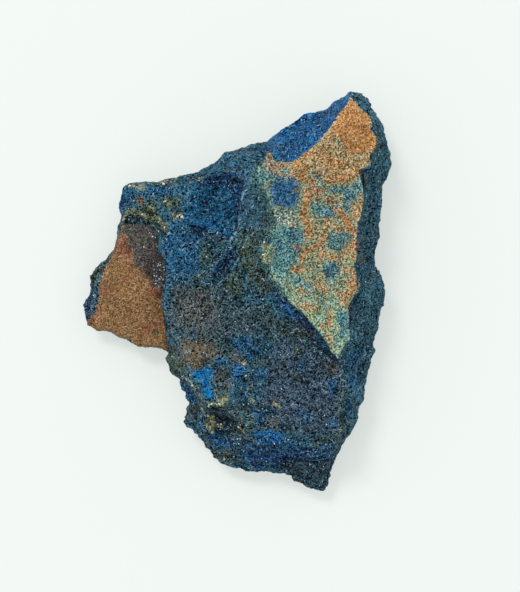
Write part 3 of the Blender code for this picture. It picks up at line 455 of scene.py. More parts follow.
# Pale crumbs of crust: lines in plan and their half width.
PALE_LINES = [
    ([(-22.9, 14.2), (-22.1, 15.5), (-21.2, 16.1), (-20.2, 16.4)], 0.42),
    ([(-20.4, 15.4), (-19.4, 15.9), (-18.6, 15.4), (-17.6, 15.0)], 0.34),
    ([(-16.9, 14.6), (-16.2, 15.0), (-15.6, 14.8), (-14.9, 14.3), (-14.5, 13.5), (-14.2, 12.6),
      (-13.5, 12.0)], 0.36), ([(-17.3, 16.8), (-16.7, 16.4)], 0.30),
    ([(-23.0, 13.3), (-22.4, 13.1)], 0.30), ([(-12.9, 15.5), (-11.8, 15.1), (-10.9, 15.2)], 0.48),
    ([(-14.0, 18.3), (-13.4, 17.7)], 0.36), ([(-21.6, 20.9), (-19.8, 21.2), (-18.4, 20.9)], 0.42),
    ([(-14.6, 21.9), (-12.0, 22.5)], 0.26), ([(-7.2, 22.4), (-6.4, 22.8)], 0.34),
    ([(-11.2, -15.6), (-10.2, -16.6), (-9.2, -17.6), (-8.2, -18.8), (-7.6, -20.0), (-6.6, -21.2),
      (-5.4, -21.9), (-4.0, -21.9), (-3.0, -21.2), (-2.2, -20.6)], 0.34),
    ([(-4.2, -13.5), (-5.2, -14.1)], 0.24), ([(-4.5, -20.3), (-3.9, -20.4)], 0.26),
    ([(-3.6, -21.2), (-2.8, -21.8)], 0.55), ([(-4.9, -24.6), (-4.5, -25.7)], 0.55),
    ([(-5.8, -26.6), (-4.8, -26.9)], 0.42), ([(0.6, -26.4), (1.1, -26.9)], 0.42),
    ([(-3.6, -26.0), (-2.8, -26.6)], 0.24), ([(7.4, -21.7), (8.4, -22.2)], 0.34),
    ([(-2.4, -33.1), (-1.5, -34.0)], 0.42), ([(25.5, -15.6), (25.9, -16.0)], 0.38),
    ([(5.2, 7.0), (6.0, 6.4)], 0.62), ([(5.4, 9.4), (6.4, 9.0)], 0.42),
    ([(11.3, 19.6), (12.1, 19.8)], 0.26), ([(1.7, -16.3), (2.2, -16.4)], 0.26),
    ([(0.9, -13.7), (1.9, -13.9)], 0.18), ([(-7.3, -22.2), (-6.2, -23.9), (-5.4, -24.3)], 0.14),
    ([(2.6, -21.0), (3.2, -21.2)], 0.16),
]

# Sharp edges of the rock, worn pale and lit as painted highlights along the ridges: lines in plan and
# their half width.
WORN_EDGE_HIGHLIGHTS = [
    ([(0.4, 6.6), (-0.6, 5.0), (-2.2, 3.2), (-3.6, 1.6)], 0.13),
    ([(-1.0, 8.8), (-2.2, 7.2), (-3.8, 6.0), (-5.0, 4.6)], 0.13),
    ([(1.4, 19.6), (0.9, 17.6), (0.5, 15.7), (0.7, 13.5), (-0.2, 11.7), (-1.2, 10.2)], 0.16),
    ([(-9.4, 20.6), (-9.8, 18.8), (-9.4, 16.8)], 0.12),
    ([(-9.6, 21.6), (-7.6, 22.4), (-6.8, 21.8), (-6.8, 20.6)], 0.16),
    ([(-6.4, 4.2), (-7.6, 2.8), (-9.0, 2.2)], 0.12), ([(11.4, -5.2), (13.0, -6.8), (14.4, -8.4)], 0.12),
    ([(8.2, 1.8), (10.2, -0.9), (12.8, -3.6), (15.6, -6.6)], 0.14),
    ([(13.0, -9.1), (15.8, -11.2), (18.6, -13.4)], 0.12),
    ([(20.1, -15.6), (20.9, -17.8), (20.6, -20.4)], 0.16),
    ([(23.9, 24.0), (25.4, 24.4), (26.2, 25.0)], 0.20),
    ([(26.9, 32.0), (28.2, 29.8), (28.4, 27.2)], 0.12),
    ([(25.4, 22.6), (25.6, 19.8), (25.2, 17.2)], 0.12), ([(24.2, 12.6), (24.4, 9.0), (24.0, 5.4)], 0.12),
    ([(23.2, -3.8), (23.2, -7.4), (23.6, -9.8)], 0.12),
    ([(12.2, -31.2), (14.2, -31.8), (16.4, -31.6)], 0.12),
    ([(6.8, -15.6), (8.4, -16.2), (10.0, -16.0)], 0.10),
    ([(-29.0, -4.0), (-28.2, 0.0), (-26.8, 3.4), (-25.0, 6.6), (-24.2, 9.4)], 0.08),
    ([(-12.6, 14.4), (-11.6, 14.0), (-10.6, 14.4)], 0.12),
    ([(1.4, -5.8), (2.2, -6.6), (2.0, -7.6)], 0.10),
]

# Creases where the rock has parted: lines in plan, half width, and depth next to
# the deepest.
DEEPEST_CREASE = 0.35
CREASES = [
    ([(8.6, 0.2), (10.0, -2.2), (12.4, -4.6), (14.4, -6.6), (16.6, -9.2), (18.2, -12.2)], 0.35, 0.35),
    ([(11.6, -7.6), (14.2, -8.7), (16.4, -10.8), (18.2, -12.7), (19.6, -13.8)], 0.30, 0.30),
    ([(10.6, -16.4), (12.6, -17.4), (13.8, -18.2)], 0.25, 0.25),
    ([(11.2, -33.0), (14.0, -33.5), (16.6, -33.6)], 0.30, 0.30),
    ([(-14.4, 2.2), (-15.0, -2.4), (-14.0, -6.6)], 0.30, 0.30),
    ([(-9.6, 13.4), (-7.2, 12.6), (-4.4, 11.4)], 0.30, 0.35),
    ([(-8.4, 12.0), (-6.0, 10.8), (-4.2, 9.2)], 0.26, 0.30),
    ([(4.0, 26.0), (5.0, 26.4), (5.5, 27.6)], 0.25, 0.30),
    ([(0.2, -25.0), (1.6, -26.6), (2.2, -27.6)], 0.22, 0.25),
    ([(-5.8, -28.6), (-3.4, -29.2), (-1.6, -29.9)], 0.22, 0.25),
    ([(24.0, 23.6), (24.6, 22.2), (25.0, 20.4)], 0.30, 0.30),
    ([(20.1, -14.0), (20.0, -16.6), (21.0, -18.6)], 0.26, 0.30),
]


WEIGHT_STEPS = 50


def weigh(piece, name, weights):
    """Give a piece a vertex group; tools read it as how much they may do."""
    group = piece.vertex_groups.new(name=name)
    steps = np.clip(np.round(weights * WEIGHT_STEPS), 0, WEIGHT_STEPS).astype(int)
    for step in range(1, WEIGHT_STEPS + 1):
        members = np.flatnonzero(steps == step)
        if len(members):
            group.add(members.tolist(), step / WEIGHT_STEPS, "REPLACE")


MIDDLE = np.array([5.0, 0.0])
FAR_OUTSIDE = -9.0


def side_share(places, outward):
    """1 on the outer walls, which face away from the stone's middle; 0 on top."""
    away = places[:, :2] - MIDDLE
    away = away / np.linalg.norm(away, axis=1)[:, None]
    return ease(((outward[:, :2] * away).sum(axis=1) - 0.62) / 0.3)


# How far patches draw back, and the height under which the blue facet starts to, in
# millimetres.
DRAWN_UNDER = 4.0
DRAWN_STEEP = 2.0
DRAWN_ON_SIDE = 1.6
DRAWN_LOW_FACET = 2.4
FACET_FOOT = 6.5


def lie_of_patches(places, outward):
    """Depth in every patch of the skin at each place.

    Each patch draws back where the rock turns under and on its outer walls, the blue
    facet low on its wall, and the crust and the plate's stain also on steep ground.
    """
    upward = outward[:, 2]
    on_side = side_share(places, outward)
    depth_in = {}
    for name, outlines in PATCHES.items():
        depths = [depth_in_outline(places, outline) for outline in outlines]
        depth_in[name] = np.max(depths, axis=0)
    for name, lines in {**VEINS, "pale": PALE_LINES, "worn edge highlight": WORN_EDGE_HIGHLIGHTS}.items():
        deepest = depth_in.get(name, np.full(len(places), FAR_OUTSIDE))
        for line, half_width in lines:
            deepest = np.maximum(deepest, half_width - distance_to_line(places, line))
        depth_in[name] = deepest
    under_cut = ease((0.05 - upward) / 0.3) * DRAWN_UNDER
    steep_cut = ease((0.45 - upward) / 0.3) * DRAWN_STEEP
    for name in depth_in:
        depth_in[name] = depth_in[name] - under_cut - DRAWN_ON_SIDE * on_side
    depth_in["side"] = on_side
    low_on_wall = ease((FACET_FOOT - places[:, 2]) / 4.0)
    depth_in["blue facet"] = depth_in["blue facet"] - DRAWN_LOW_FACET * low_on_wall
    for name in ("crust", "fringe", "ochre", "tawny", "amber", "plate skin"):
        depth_in[name] = depth_in[name] - steep_cut
    return depth_in


places = corners(stone)
outward = facing(stone)
upward = outward[:, 2]
on_side = side_share(places, outward)
depth_in = lie_of_patches(places, outward)
crust_share = ease(depth_in["crust"] / 0.5 + 0.5)
window_share = ease(depth_in["blue window"] / 0.8 + 0.5)
plate_share = ease(depth_in["plate skin"] / 0.8 + 0.5)
facet_share = ease(depth_in["blue facet"] / 1.0 + 0.5)
azure_share = ease(depth_in["azure"] / 0.6 + 0.5)
pale_share = ease(depth_in["pale"] / 0.3 + 0.6)
scoop_share = ease(depth_in["scoop"] / 2.0 + 0.5)
off_ground = ease((places[:, 2] - 0.1) / 0.9)
on_rock = off_ground * (1.0 - 0.75 * crust_share) * (1.0 - 0.85 * plate_share)
on_rock = on_rock * (1.0 - 0.55 * facet_share) * (1.0 - 0.6 * azure_share)
creased = np.zeros(len(places))
for line, half_width, depth in CREASES:
    share = ease(1.2 - distance_to_line(places, line) / half_width) * depth
    creased = np.maximum(creased, share)

weigh(stone, "rock", on_rock * (1.0 - 0.4 * scoop_share))
weigh(stone, "steep rock", on_rock * ease((0.75 - upward) / 0.4) * ease(upward + 0.9))
weigh(stone, "crust", crust_share * (1.0 - 0.7 * window_share))
weigh(stone, "plate", plate_share * off_ground)
weigh(stone, "pale", pale_share)
weigh(stone, "azure", azure_share)
weigh(stone, "crease", creased / DEEPEST_CREASE)


def roughness_pattern(name, kind, settings):
    """A pattern of high and low, such as lumps or chips."""
    pattern = bpy.data.textures.new(name, kind)
    for setting, value in settings.items():
        setattr(pattern, setting, value)
    return pattern


def work_surface(group, pattern, strength, middle=0.5, lie=None):
    """Raise and lower the skin by a pattern, as far as a vertex group lets it."""
    settings = {"texture": pattern, "texture_coords": "LOCAL", "direction": "NORMAL",
                "strength": strength * MM, "mid_level": middle, "vertex_group": group}
    if lie is not None:
        settings["texture_coords"] = "OBJECT"
        settings["texture_coords_object"] = lie
    apply_modifier(stone, "DISPLACE", settings)


def grain_lie(turn, stretch):
    """A guide that lays a pattern out: turned in plan, and drawn out along its axes."""
    bpy.ops.object.select_all(action="DESELECT")
    bpy.ops.object.empty_add(type="ARROWS", rotation=(0.0, 0.0, math.radians(turn)))
    guide = bpy.context.object
    guide.scale = stretch
    bpy.context.view_layer.update()
    return guide


lumps = roughness_pattern("lumps", "CLOUDS", {
    "noise_basis": "IMPROVED_PERLIN", "noise_scale": 2.6 * MM, "noise_depth": 2})
crags = roughness_pattern("crags", "MUSGRAVE", {
    "musgrave_type": "RIDGED_MULTIFRACTAL", "noise_scale": 1.5 * MM, "octaves": 3.0,
    "lacunarity": 2.2, "dimension_max": 0.9, "gain": 2.0, "offset": 0.9})
chips = roughness_pattern("chips", "VORONOI", {
    "noise_scale": 1.7 * MM, "distance_metric": "DISTANCE", "weight_1": -1.0,
    "weight_2": 1.0, "noise_intensity": 1.0})
grit = roughness_pattern("grit", "CLOUDS", {
    "noise_basis": "IMPROVED_PERLIN", "noise_scale": 0.55 * MM, "noise_depth": 1})
grains = roughness_pattern("grains", "VORONOI", {
    "noise_scale": 0.75 * MM, "distance_metric": "DISTANCE", "weight_1": 1.0})

# Bedding: the rock parts in thin flakes, which lie another way in each place.
# Each place has its outline, the turn of its flakes, their stretch and their depth.
BEDDING = {
    "right face": ([(20.0, 40.0), (32.0, 40.0), (32.0, -28.0), (21.0, -28.0), (20.6, -10.0),
                    (24.4, 6.0), (25.4, 20.0), (26.6, 30.0)], 82.0, (4.0, 1.0, 1.0), 0.50),
    "lower flakes": ([(-2.0, -5.0), (10.0, -4.0), (20.0, -13.0), (21.0, -28.0), (10.0, -28.0),
                      (2.0, -24.0), (-2.0, -16.0)], -36.0, (2.8, 1.0, 1.0), 0.36),
    "foot bands": ([(-12.0, -27.0), (-4.0, -27.5), (3.0, -27.0), (20.0, -28.0), (19.0, -40.0),
                    (-12.0, -36.0)], -6.0, (4.0, 1.0, 1.0), 0.45),
    "pit": ([(-13.0, -17.0), (-7.4, -20.0), (-2.0, -21.0), (3.0, -27.0), (0.0, -29.0),
             (-12.0, -28.0)], -38.0, (3.6, 1.0, 1.0), 0.50),
    "scoop": ([(-11.0, 23.0), (1.0, 23.0), (1.0, 14.0), (-1.0, 9.0), (-9.0, 10.0),
               (-11.0, 14.0)], 24.0, (4.0, 1.0, 1.0), 0.44),
    "gully": ([(-9.0, 10.0), (0.0, 10.0), (5.0, 4.0), (3.0, -4.0), (-13.0, -4.0),
               (-14.0, 2.0)], 50.0, (3.0, 1.0, 1.0), 0.34),
    "outer walls": (None, 0.0, (3.0, 3.0, 1.2), 0.42),
}
for name, (outline, turn, stretch, strength) in BEDDING.items():
    share = on_side
    if outline is not None:
        share = ease(depth_in_outline(places, outline) / 2.0 + 0.5)
    weigh(stone, name, share * on_rock)

work_surface("crust", None, 0.18, 0.0)
work_surface("pale", None, 0.16, 0.0)
work_surface("crease", None, -0.45, 0.0)
work_surface("azure", None, -0.12, 0.0)
work_surface("rock", lumps, 0.55)
for name, (outline, turn, stretch, strength) in BEDDING.items():
    guide = grain_lie(turn, stretch)
    work_surface(name, crags, strength, 0.6, guide)
    bpy.data.objects.remove(guide)
work_surface("rock", chips, 0.30, 0.3)
work_surface("steep rock", crags, 0.16, 0.6)
work_surface("rock", grit, 0.20)
work_surface("crust", grit, 0.22)
work_surface("crust", lumps, 0.30)
work_surface("plate", grit, 0.12)
work_surface("pale", grains, -0.30, 0.4)

apply_modifier(stone, "SMOOTH", {"factor": 0.45, "iterations": 1})


def keep_in_box(piece):
    """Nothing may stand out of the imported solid's box or reach below the ground."""
    kept = np.clip(corners(piece) * MM, cad_box[0], cad_box[1])
    piece.data.vertices.foreach_set("co", kept.ravel())
    piece.data.update()


MOST_TRIANGLES = 190000
keep_in_box(stone)
share_to_keep = MOST_TRIANGLES / sum(len(face.vertices) - 2 for face in stone.data.polygons)
if share_to_keep < 1.0:
    apply_modifier(stone, "DECIMATE", {"ratio": share_to_keep})
keep_in_box(stone)
stone.data.shade_smooth()

# How far each spot stands above the skin round it, near by and further out: painted
# shade in its hollows and painted light on what stands out.
FINE_ROUNDS = 6
BROAD_ROUNDS = 70
skin_places = corners(stone)
edges = np.empty(len(stone.data.edges) * 2, int)
stone.data.edges.foreach_get("vertices", edges)
edges = edges.reshape(-1, 2)
neighbours = np.bincount(edges.ravel(), minlength=len(skin_places)).astype(float)
outward = facing(stone)
around = skin_places.copy()
stands_out = {}
for round_number in range(1, BROAD_ROUNDS + 1):
    total = np.zeros_like(around)
    for axis in range(3):
        for here, there in ((0, 1), (1, 0)):
            next_to_it = around[edges[:, there], axis]
            total[:, axis] += np.bincount(edges[:, here], next_to_it, len(around))
    around = total / neighbours[:, None]
    if round_number in (FINE_ROUNDS, BROAD_ROUNDS):
        stands_out[round_number] = ((skin_places - around) * outward).sum(axis=1)
depth_in = lie_of_patches(skin_places, outward)
# Painted shade and light: darker in hollows, lighter where the skin stands out.
depth_in["relief_shading"] = np.clip(stands_out[FINE_ROUNDS] / 0.10, -1.0, 1.0)
depth_in["form_shading"] = np.clip(stands_out[BROAD_ROUNDS] / 0.32, -1.0, 1.0)
# Painted shade on the steep walls: 1 where the skin faces sideways or down.
depth_in["steep_wall_shade"] = ease((0.30 - outward[:, 2]) / 0.3)
for name, values in depth_in.items():
    layer = stone.data.attributes.new("depth in " + name, "FLOAT", "POINT")
    layer.data.foreach_set("value", values.astype(np.float32))


class Wire:
    """A shader socket that can be written into sums, products and mixes."""

    def __init__(self, tree, socket):
        self.tree = tree
        self.socket = socket

    def node(self, kind, settings, sockets, output=0):
        made = self.tree.nodes.new(kind)
        for name, value in settings.items():
            setattr(made, name, value)
        for name, value in sockets.items():
            if isinstance(value, Wire):
                self.tree.links.new(value.socket, made.inputs[name])
            else:
                made.inputs[name].default_value = value
        return Wire(self.tree, made.outputs[output])

    def maths(self, operation, first, second):
        return self.node("ShaderNodeMath", {"operation": operation}, {0: first, 1: second})

    def __add__(self, other):
        return self.maths("ADD", self, other)

    def __radd__(self, other):
        return self.maths("ADD", other, self)

    def __sub__(self, other):
        return self.maths("SUBTRACT", self, other)

    def __rsub__(self, other):
        return self.maths("SUBTRACT", other, self)

    def __mul__(self, other):
        return self.maths("MULTIPLY", self, other)

    def __rmul__(self, other):
        return self.maths("MULTIPLY", other, self)

    def power(self, other):
        return self.maths("POWER", self, other)

    def step(self, low, high):
        """0 below low, 1 above high and a smooth rise between them."""
        sockets = {"Value": self, "From Min": low, "From Max": high}
        return self.node("ShaderNodeMapRange", {"interpolation_type": "SMOOTHSTEP"}, sockets)

    def mix(self, share, other):
        """This colour, giving way to another where share is 1."""
        sockets = {0: share, 6: self, 7: other}
        return self.node("ShaderNodeMix", {"data_type": "RGBA"}, sockets, 2)


def paint(code):
    """A colour written as on a paint chart, #rrggbb, in the shader's own units."""
    shares = [int(code[place:place + 2], 16) / 255.0 for place in (1, 3, 5)]
    linear = [s / 12.92 if s <= 0.04045 else ((s + 0.055) / 1.055) ** 2.4 for s in shares]
    return (*linear, 1.0)


def new_look(name):
    """A new material, with its first wire: the place on the piece, in millimetres."""
    look = bpy.data.materials.new(name)
    look.use_nodes = True
    tree = look.node_tree
    start = Wire(tree, tree.nodes.new("ShaderNodeTexCoord").outputs["Object"])
    sockets = {0: start, "Scale": 1.0 / MM}
    return look, start.node("ShaderNodeVectorMath", {"operation": "SCALE"}, sockets)


def put_on(piece, look, sockets):
    """Finish a look and give it to a piece; a plain number goes on the shader's own socket."""
    surface = look.node_tree.nodes["Principled BSDF"]
    for name, value in sockets.items():
        if isinstance(value, Wire):
            look.node_tree.links.new(value.socket, surface.inputs[name])
        else:
            surface.inputs[name].default_value = value
    piece.data.materials.clear()
    piece.data.materials.append(look)


skin, place = new_look("aerinite rock and crust")


def clouds(size, detail, shift=0.0, lean=0.0):
    """Soft noise from 0 to 1, with features about `size` millimetres across."""
    spot = place.node("ShaderNodeVectorMath", {"operation": "ADD"},
                      {0: place, 1: (shift, shift * 0.7, shift * 1.3)})
    sockets = {"Vector": spot, "Scale": 1.0 / size, "Detail": detail, "Roughness": 0.55,
               "Distortion": lean}
    return place.node("ShaderNodeTexNoise", {}, sockets, "Fac")


def xyz(first, second, third):
    """Three values as one vector, or as one colour."""
    return place.node("ShaderNodeCombineXYZ", {}, {0: first, 1: second, 2: third})


def patch(name):
    """Depth in a patch of the skin, in millimetres; below 0 outside it."""
    return place.node("ShaderNodeAttribute", {"attribute_name": "depth in " + name}, {}, "Fac")


def spread(value, low, high):
    """Stretch a noise so that low gives 0 and high gives 1."""
    sockets = {"Value": value, "From Min": low, "From Max": high}
    return value.node("ShaderNodeMapRange", {"interpolation_type": "LINEAR"}, sockets)


def plain(code):
    """The same colour everywhere, for others to be mixed into."""
    colour = place.node("ShaderNodeRGB", {}, {})
    colour.socket.default_value = paint(code)
    return colour


middling = clouds(2.4, 2.0, shift=11.0)
small = clouds(1.1, 2.0, shift=23.0)
fine = clouds(0.55, 1.0, shift=37.0)
speck = clouds(0.23, 0.0, shift=51.0)
tint = clouds(0.50, 1.0, shift=63.0)
wander = (middling - 0.5) * 2.8 + (small - 0.5) * 2.8 + (fine - 0.5) * 0.8
crumble = (small - 0.5) * 4.5 + (fine - 0.5) * 0.8
tatter = (small - 0.5) * 7.0 + (fine - 0.5) * 3.2
relief_shading = patch("relief_shading")
form_shading = patch("form_shading")


def lies_in(name, edge=0.3, loose=1.0, fray=wander):
    """1 inside a patch of the skin, with a frayed edge."""
    return (patch(name) + fray * loose).step(-edge, edge)


def off_the_middle(wave):
    """How far a noise is from its middle value: 0 along fine wandering lines."""
    wave = wave * 2.0 - 1.0
    return wave.node("ShaderNodeMath", {"operation": "ABSOLUTE"}, {0: wave})


def thin_lines(size, width, shift):
    """1 along fine wandering lines, 0 between them."""
    wave = off_the_middle(clouds(size, 1.0, shift, 0.8))
    return (1.0 - wave).step(1.0 - width, 1.0)


def stain(colour, stains, fray=wander):
    """Lay colours over one another, each in its own patch of the skin.

    A stain is the patch, its edge's width, how frayed it is, its strength and its colour.
    """
    for name, edge, loose, share, code in stains:
        colour = colour.mix(lies_in(name, edge, loose, fray) * share, paint(code))
    return colour


# Blue rock under everything: navy, teal and slate clouded into each other.
ground = plain("#26505f")
ground = ground.mix(spread(middling, 0.46, 0.58), paint("#2c5266"))
ground = ground.mix(spread(clouds(3.0, 2.0, shift=5.0), 0.49, 0.60) * 0.75, paint("#3f4a3a"))
ground = ground.mix(spread(small, 0.53, 0.66) * 0.40, paint("#184668"))
ground = stain(ground, [
    ("slate", 1.2, 1.0, 0.80, "#404a57"), ("middle", 1.8, 1.0, 0.75, "#3c4846"),
    ("teal", 0.8, 1.0, 0.80, "#1f5876"), ("right face", 1.2, 1.0, 0.70, "#386474"),
    ("grey ridge", 1.0, 1.0, 0.90, "#304f5b"), ("brown ridge", 1.0, 1.0, 0.75, "#3d4439"),
    ("olive", 1.2, 1.0, 0.85, "#40492f"), ("drab", 1.8, 1.0, 0.60, "#59503f")])
in_umber = lies_in("umber", 1.9, 0.9)
ground = ground.mix(in_umber * 0.75, paint("#6c5836"))
ground = stain(ground, [
    ("cobalt", 1.0, 1.0, 0.75, "#185078"), ("scoop", 1.2, 0.8, 0.75, "#195a82")])
side = patch("side")
facet = lies_in("blue facet", 0.7, 0.45, crumble) * (1.0 - side * 0.65)
ground = ground.mix(facet, paint("#09598f"))
ground = ground.mix(facet * spread(middling, 0.48, 0.60) * 0.40, paint("#0f4068"))
# The navy and the ink darken the scoop's upper wall, the ledge and the gully partly as painted shade.
ground = stain(ground, [
    ("navy", 0.9, 0.9, 0.82, "#0b3c70"), ("ink and shade", 0.9, 0.9, 0.50, "#0e2440"),
    ("tip", 1.0, 1.0, 0.75, "#262c2e"), ("shade", 0.8, 0.8, 0.85, "#34362d"),
    ("rust", 0.5, 0.6, 0.70, "#7e5a38"), ("azure spots", 0.7, 0.6, 0.80, "#1663a2")])
in_azure = lies_in("azure", 0.5, 0.35)
ground = ground.mix(in_azure * 0.95, paint("#1c7cb8"))
# The outer walls show the beds of the rock, dark and pale by turns.
in_scoop = lies_in("scoop", 1.2, 0.4)
side = side * (1.0 - in_scoop * 0.9)
beds = place.node("ShaderNodeVectorMath", {"operation": "MULTIPLY"},
                  {0: place, 1: (0.18, 0.18, 0.75)})
beds = place.node("ShaderNodeTexNoise", {}, {"Vector": beds, "Scale": 1.0, "Detail": 3.0}, "Fac")
ground = ground.mix(spread(beds, 0.50, 0.58) * side * 0.75, paint("#1c3550"))
ground = ground.mix(spread(beds, 0.44, 0.38) * side * 0.7, paint("#4d4f3c"))
ground = ground.mix(spread(beds, 0.37, 0.33) * side * 0.6, paint("#7b6344"))
ground = ground.mix(spread(tint, 0.57, 0.68) * 0.15, paint("#5b7068"))

# The brown plate: ochre iron stain over it, greyer towards its upper end.
plate = plain("#504f49")
in_warm = lies_in("plate warm", 1.3, 1.1)
plate = plate.mix(in_warm, paint("#8f6e45"))
plate = plate.mix(spread(clouds(2.8, 3.0, shift=81.0), 0.42, 0.62) * 0.5 * in_warm,
                  paint("#8d5c38"))
# The plate's dark patch is partly painted shadow under the rim.
plate = stain(plate, [
    ("plate red", 1.0, 0.8, 0.40, "#955040"), ("plate dark and rim shadow", 0.8, 1.0, 0.65, "#443a36"),
    ("green spot", 0.25, 0.3, 0.80, "#3c4a38"), ("teal spot", 0.15, 0.1, 0.90, "#3a9a84")])
pits = spread(speck + (middling - 0.5) * 0.5, 0.30, 0.22)

# The crust: ochre and turquoise grains, with bright amber and rusty places.
crust = plain("#6b8b75")
crust = crust.mix(spread(small, 0.42, 0.58) * 0.7, paint("#658872"))
crust = stain(crust, [("tan", 0.8, 0.5, 0.35, "#968252")], tatter)
crust = stain(crust, [("mint", 1.4, 0.9, 0.60, "#86aa8c")], crumble)
crust = crust.mix(spread(clouds(1.8, 1.0, shift=91.0), 0.50, 0.62) * 0.55, paint("#938652"))
crust = stain(crust, [
    ("verdigris", 0.6, 0.5, 0.85, "#337880"), ("deep teal", 0.6, 0.5, 0.82, "#226278"),
    ("tawny", 0.8, 0.6, 0.80, "#a88450")], crumble)
crust = stain(crust, [
    ("ochre", 1.3, 0.5, 0.42, "#a88e50"), ("ochre", 0.6, 0.5, 0.85, "#b2783e"),
    ("rust", 0.6, 0.4, 0.70, "#95573d"), ("amber", 0.6, 0.5, 0.80, "#a4743e")], tatter)
crust = stain(crust, [("frost and glints", 0.7, 0.5, 0.70, "#55706c")], crumble)
even = (patch("ochre") + wander * 0.3).step(0.0, 1.0)
mottled = 1.0 - even
crust = crust.mix(spread(tint, 0.56, 0.64) * mottled * 0.22, paint("#a4905c"))
crust = crust.mix(spread(tint, 0.42, 0.34) * mottled * 0.22, paint("#4f8a84"))
# Pale specks in the frost patch: painted glints.
crust = crust.mix(lies_in("frost and glints", 0.6, 0.6, crumble) * spread(speck, 0.55, 0.66) * 0.8,
                  paint("#c6cbb4"))
in_window = lies_in("blue window", 0.8, 0.5, crumble)
crust = crust.mix(in_window * 0.95, paint("#1f5e88"))

fringe = lies_in("fringe", 0.6, 0.8, crumble) * 0.6
crust_fray = wander * 0.24 + crumble * 0.5 * lies_in("fringe", 1.5, 0.0)
on_crust = (patch("crust") + crust_fray).step(-0.14, 0.14)
on_plate = lies_in("plate skin", 0.12, 0.18)
on_pale = lies_in("pale", 0.15, 0.55)
on_worn_highlight = lies_in("worn edge highlight", 0.10, 0.16)
colour = ground.mix(fringe, paint("#4a6b66"))
# Pale lines on the sharp edges: wear, and painted highlights along the ridges.
colour = colour.mix(on_worn_highlight * 0.75, paint("#688c92"))
colour = colour.mix(on_plate, plate)
colour = colour.mix(on_crust, crust)
colour = colour.mix(on_pale * 0.65, paint("#85824e"))

# Fine grain over all: pale crystal lines that wind between dark gaps and pits, and
# here and there a bright grain. The grain is calmer on the ridge, the plate, the
# ochre, the azure and the umber, and in the scoop.
gaps = off_the_middle(clouds(0.50, 1.0, shift=211.0, lean=0.4))
grain = place.node("ShaderNodeTexVoronoi", {"feature": "F1"}, {"Vector": place, "Scale": 3.4},
                   "Color")
grain = grain.node("ShaderNodeSeparateColor", {}, {"Color": grain}, "Red")
thread = thin_lines(1.1, 0.15, 133.0) * spread(tint, 0.44, 0.54)
thread = thread + thin_lines(0.8, 0.12, 191.0) * spread(small, 0.52, 0.60)
in_ridge = lies_in("grey ridge", 1.0, 0.4)
calm = (1.0 - on_crust * even * 0.3 - on_plate * 0.30 - in_azure * 0.5) * (1.0 - in_ridge * 0.5)
calm = calm * (1.0 - in_scoop * 0.22) * (1.0 - in_umber * 0.35)
grain_light = 1.1 - gaps * 11.0 + (speck - 0.5) * 3.0 + grain.power(8.0) * 1.6
grain_light = grain_light + thread * 1.4 * (1.0 - on_plate * 0.8 - on_crust * 0.5)
# Painted shade in small hollows and painted light on small rises.
grain_light = grain_light * calm + relief_shading * 0.3
bare = 1.0 - on_crust - on_plate
deepest = 0.94 - on_crust * (0.28 + even * 0.14) - on_plate * 0.38
darker = spread(grain_light, 0.0, -1.55) * deepest
paler = spread(grain_light, 0.0, 2.0) * 2.0
light = (1.0 - darker + paler * 0.35) * (1.0 - pits * on_plate * 0.5)
# Painted shade in broad hollows and painted light on broad rises.
light = light * (1.0 + form_shading * (0.36 - on_plate * 0.26 - on_crust * 0.16))
# Painted shade on the steep walls.
light = light * (1.0 - patch("steep_wall_shade") * 0.3)
dust = paler * (0.052 + on_crust * (1.0 - in_window) * 0.080 + on_plate * 0.03) - bare * 0.005
# The pale dust is a little colder on bare rock and a little warmer on the ochre.
cold = bare * (1.0 - in_umber) * (0.005 + paler * (0.019 + in_scoop * 0.006))
cold = cold - on_crust * even * paler * 0.022
colour = colour.node("ShaderNodeVectorMath", {"operation": "MULTIPLY_ADD"},
                     {0: colour, 1: xyz(light, light, light), 2: xyz(dust - cold, dust, dust + cold)})
colour = colour.node("ShaderNodeVectorMath", {"operation": "MAXIMUM"},
                     {0: colour, 1: (0.002, 0.003, 0.006)})

bump_height = fine * 0.45 + speck * 0.45 + small * 0.35 + thread * 0.3 - gaps * 0.6
sockets = {"Strength": 1.0, "Distance": 0.36 * MM, "Height": bump_height}
bump = place.node("ShaderNodeBump", {}, sockets, "Normal")
rough = 0.55 + (fine - 0.5) * 0.7 + on_crust * 0.2
put_on(stone, skin, {"Base Color": colour, "Roughness": rough, "Normal": bump,
                     "Specular IOR Level": 0.06})

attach(stone, "root")
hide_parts("aerinite_specimen")

# ---------------------------------------------------------------------------
# Pale crumbs of crust and clay, caught along the edges of the plate and in the
# pits: each is one rough grain, grown onto the rock. All are one joined piece.
# ---------------------------------------------------------------------------
rock_shape = BVHTree.FromPolygons([vertex.co for vertex in stone.data.vertices],
                                  [face.vertices for face in stone.data.polygons])
chance = random.Random(31)
ABOVE_ALL = 30.0 * MM
LOWEST_SPOT = 1.0 * MM


def join_copies(name, model, bed):
    """One mesh of many copies of a model, each with its own lie and its own tone."""
    shape = np.array([vertex.co for vertex in model.data.vertices])
    corners_of_faces = np.array([face.vertices for face in model.data.polygons])
    points = [shape @ np.array(lie.to_3x3()).T + np.array(lie.translation) for lie, _ in bed]
    faces = [corners_of_faces + len(shape) * number for number in range(len(bed))]
    mesh = bpy.data.meshes.new(name)
    mesh.from_pydata(np.concatenate(points).tolist(), [], np.concatenate(faces).tolist())
    tone = mesh.attributes.new("tone", "FLOAT", "POINT")
    tones = np.array([own_tone for _, own_tone in bed], np.float32)
    tone.data.foreach_set("value", np.repeat(tones, len(shape)))
    piece = bpy.data.objects.new(name, mesh)
    bpy.context.scene.collection.objects.link(piece)
    bpy.data.objects.remove(model)
    keep_in_box(piece)
    return piece


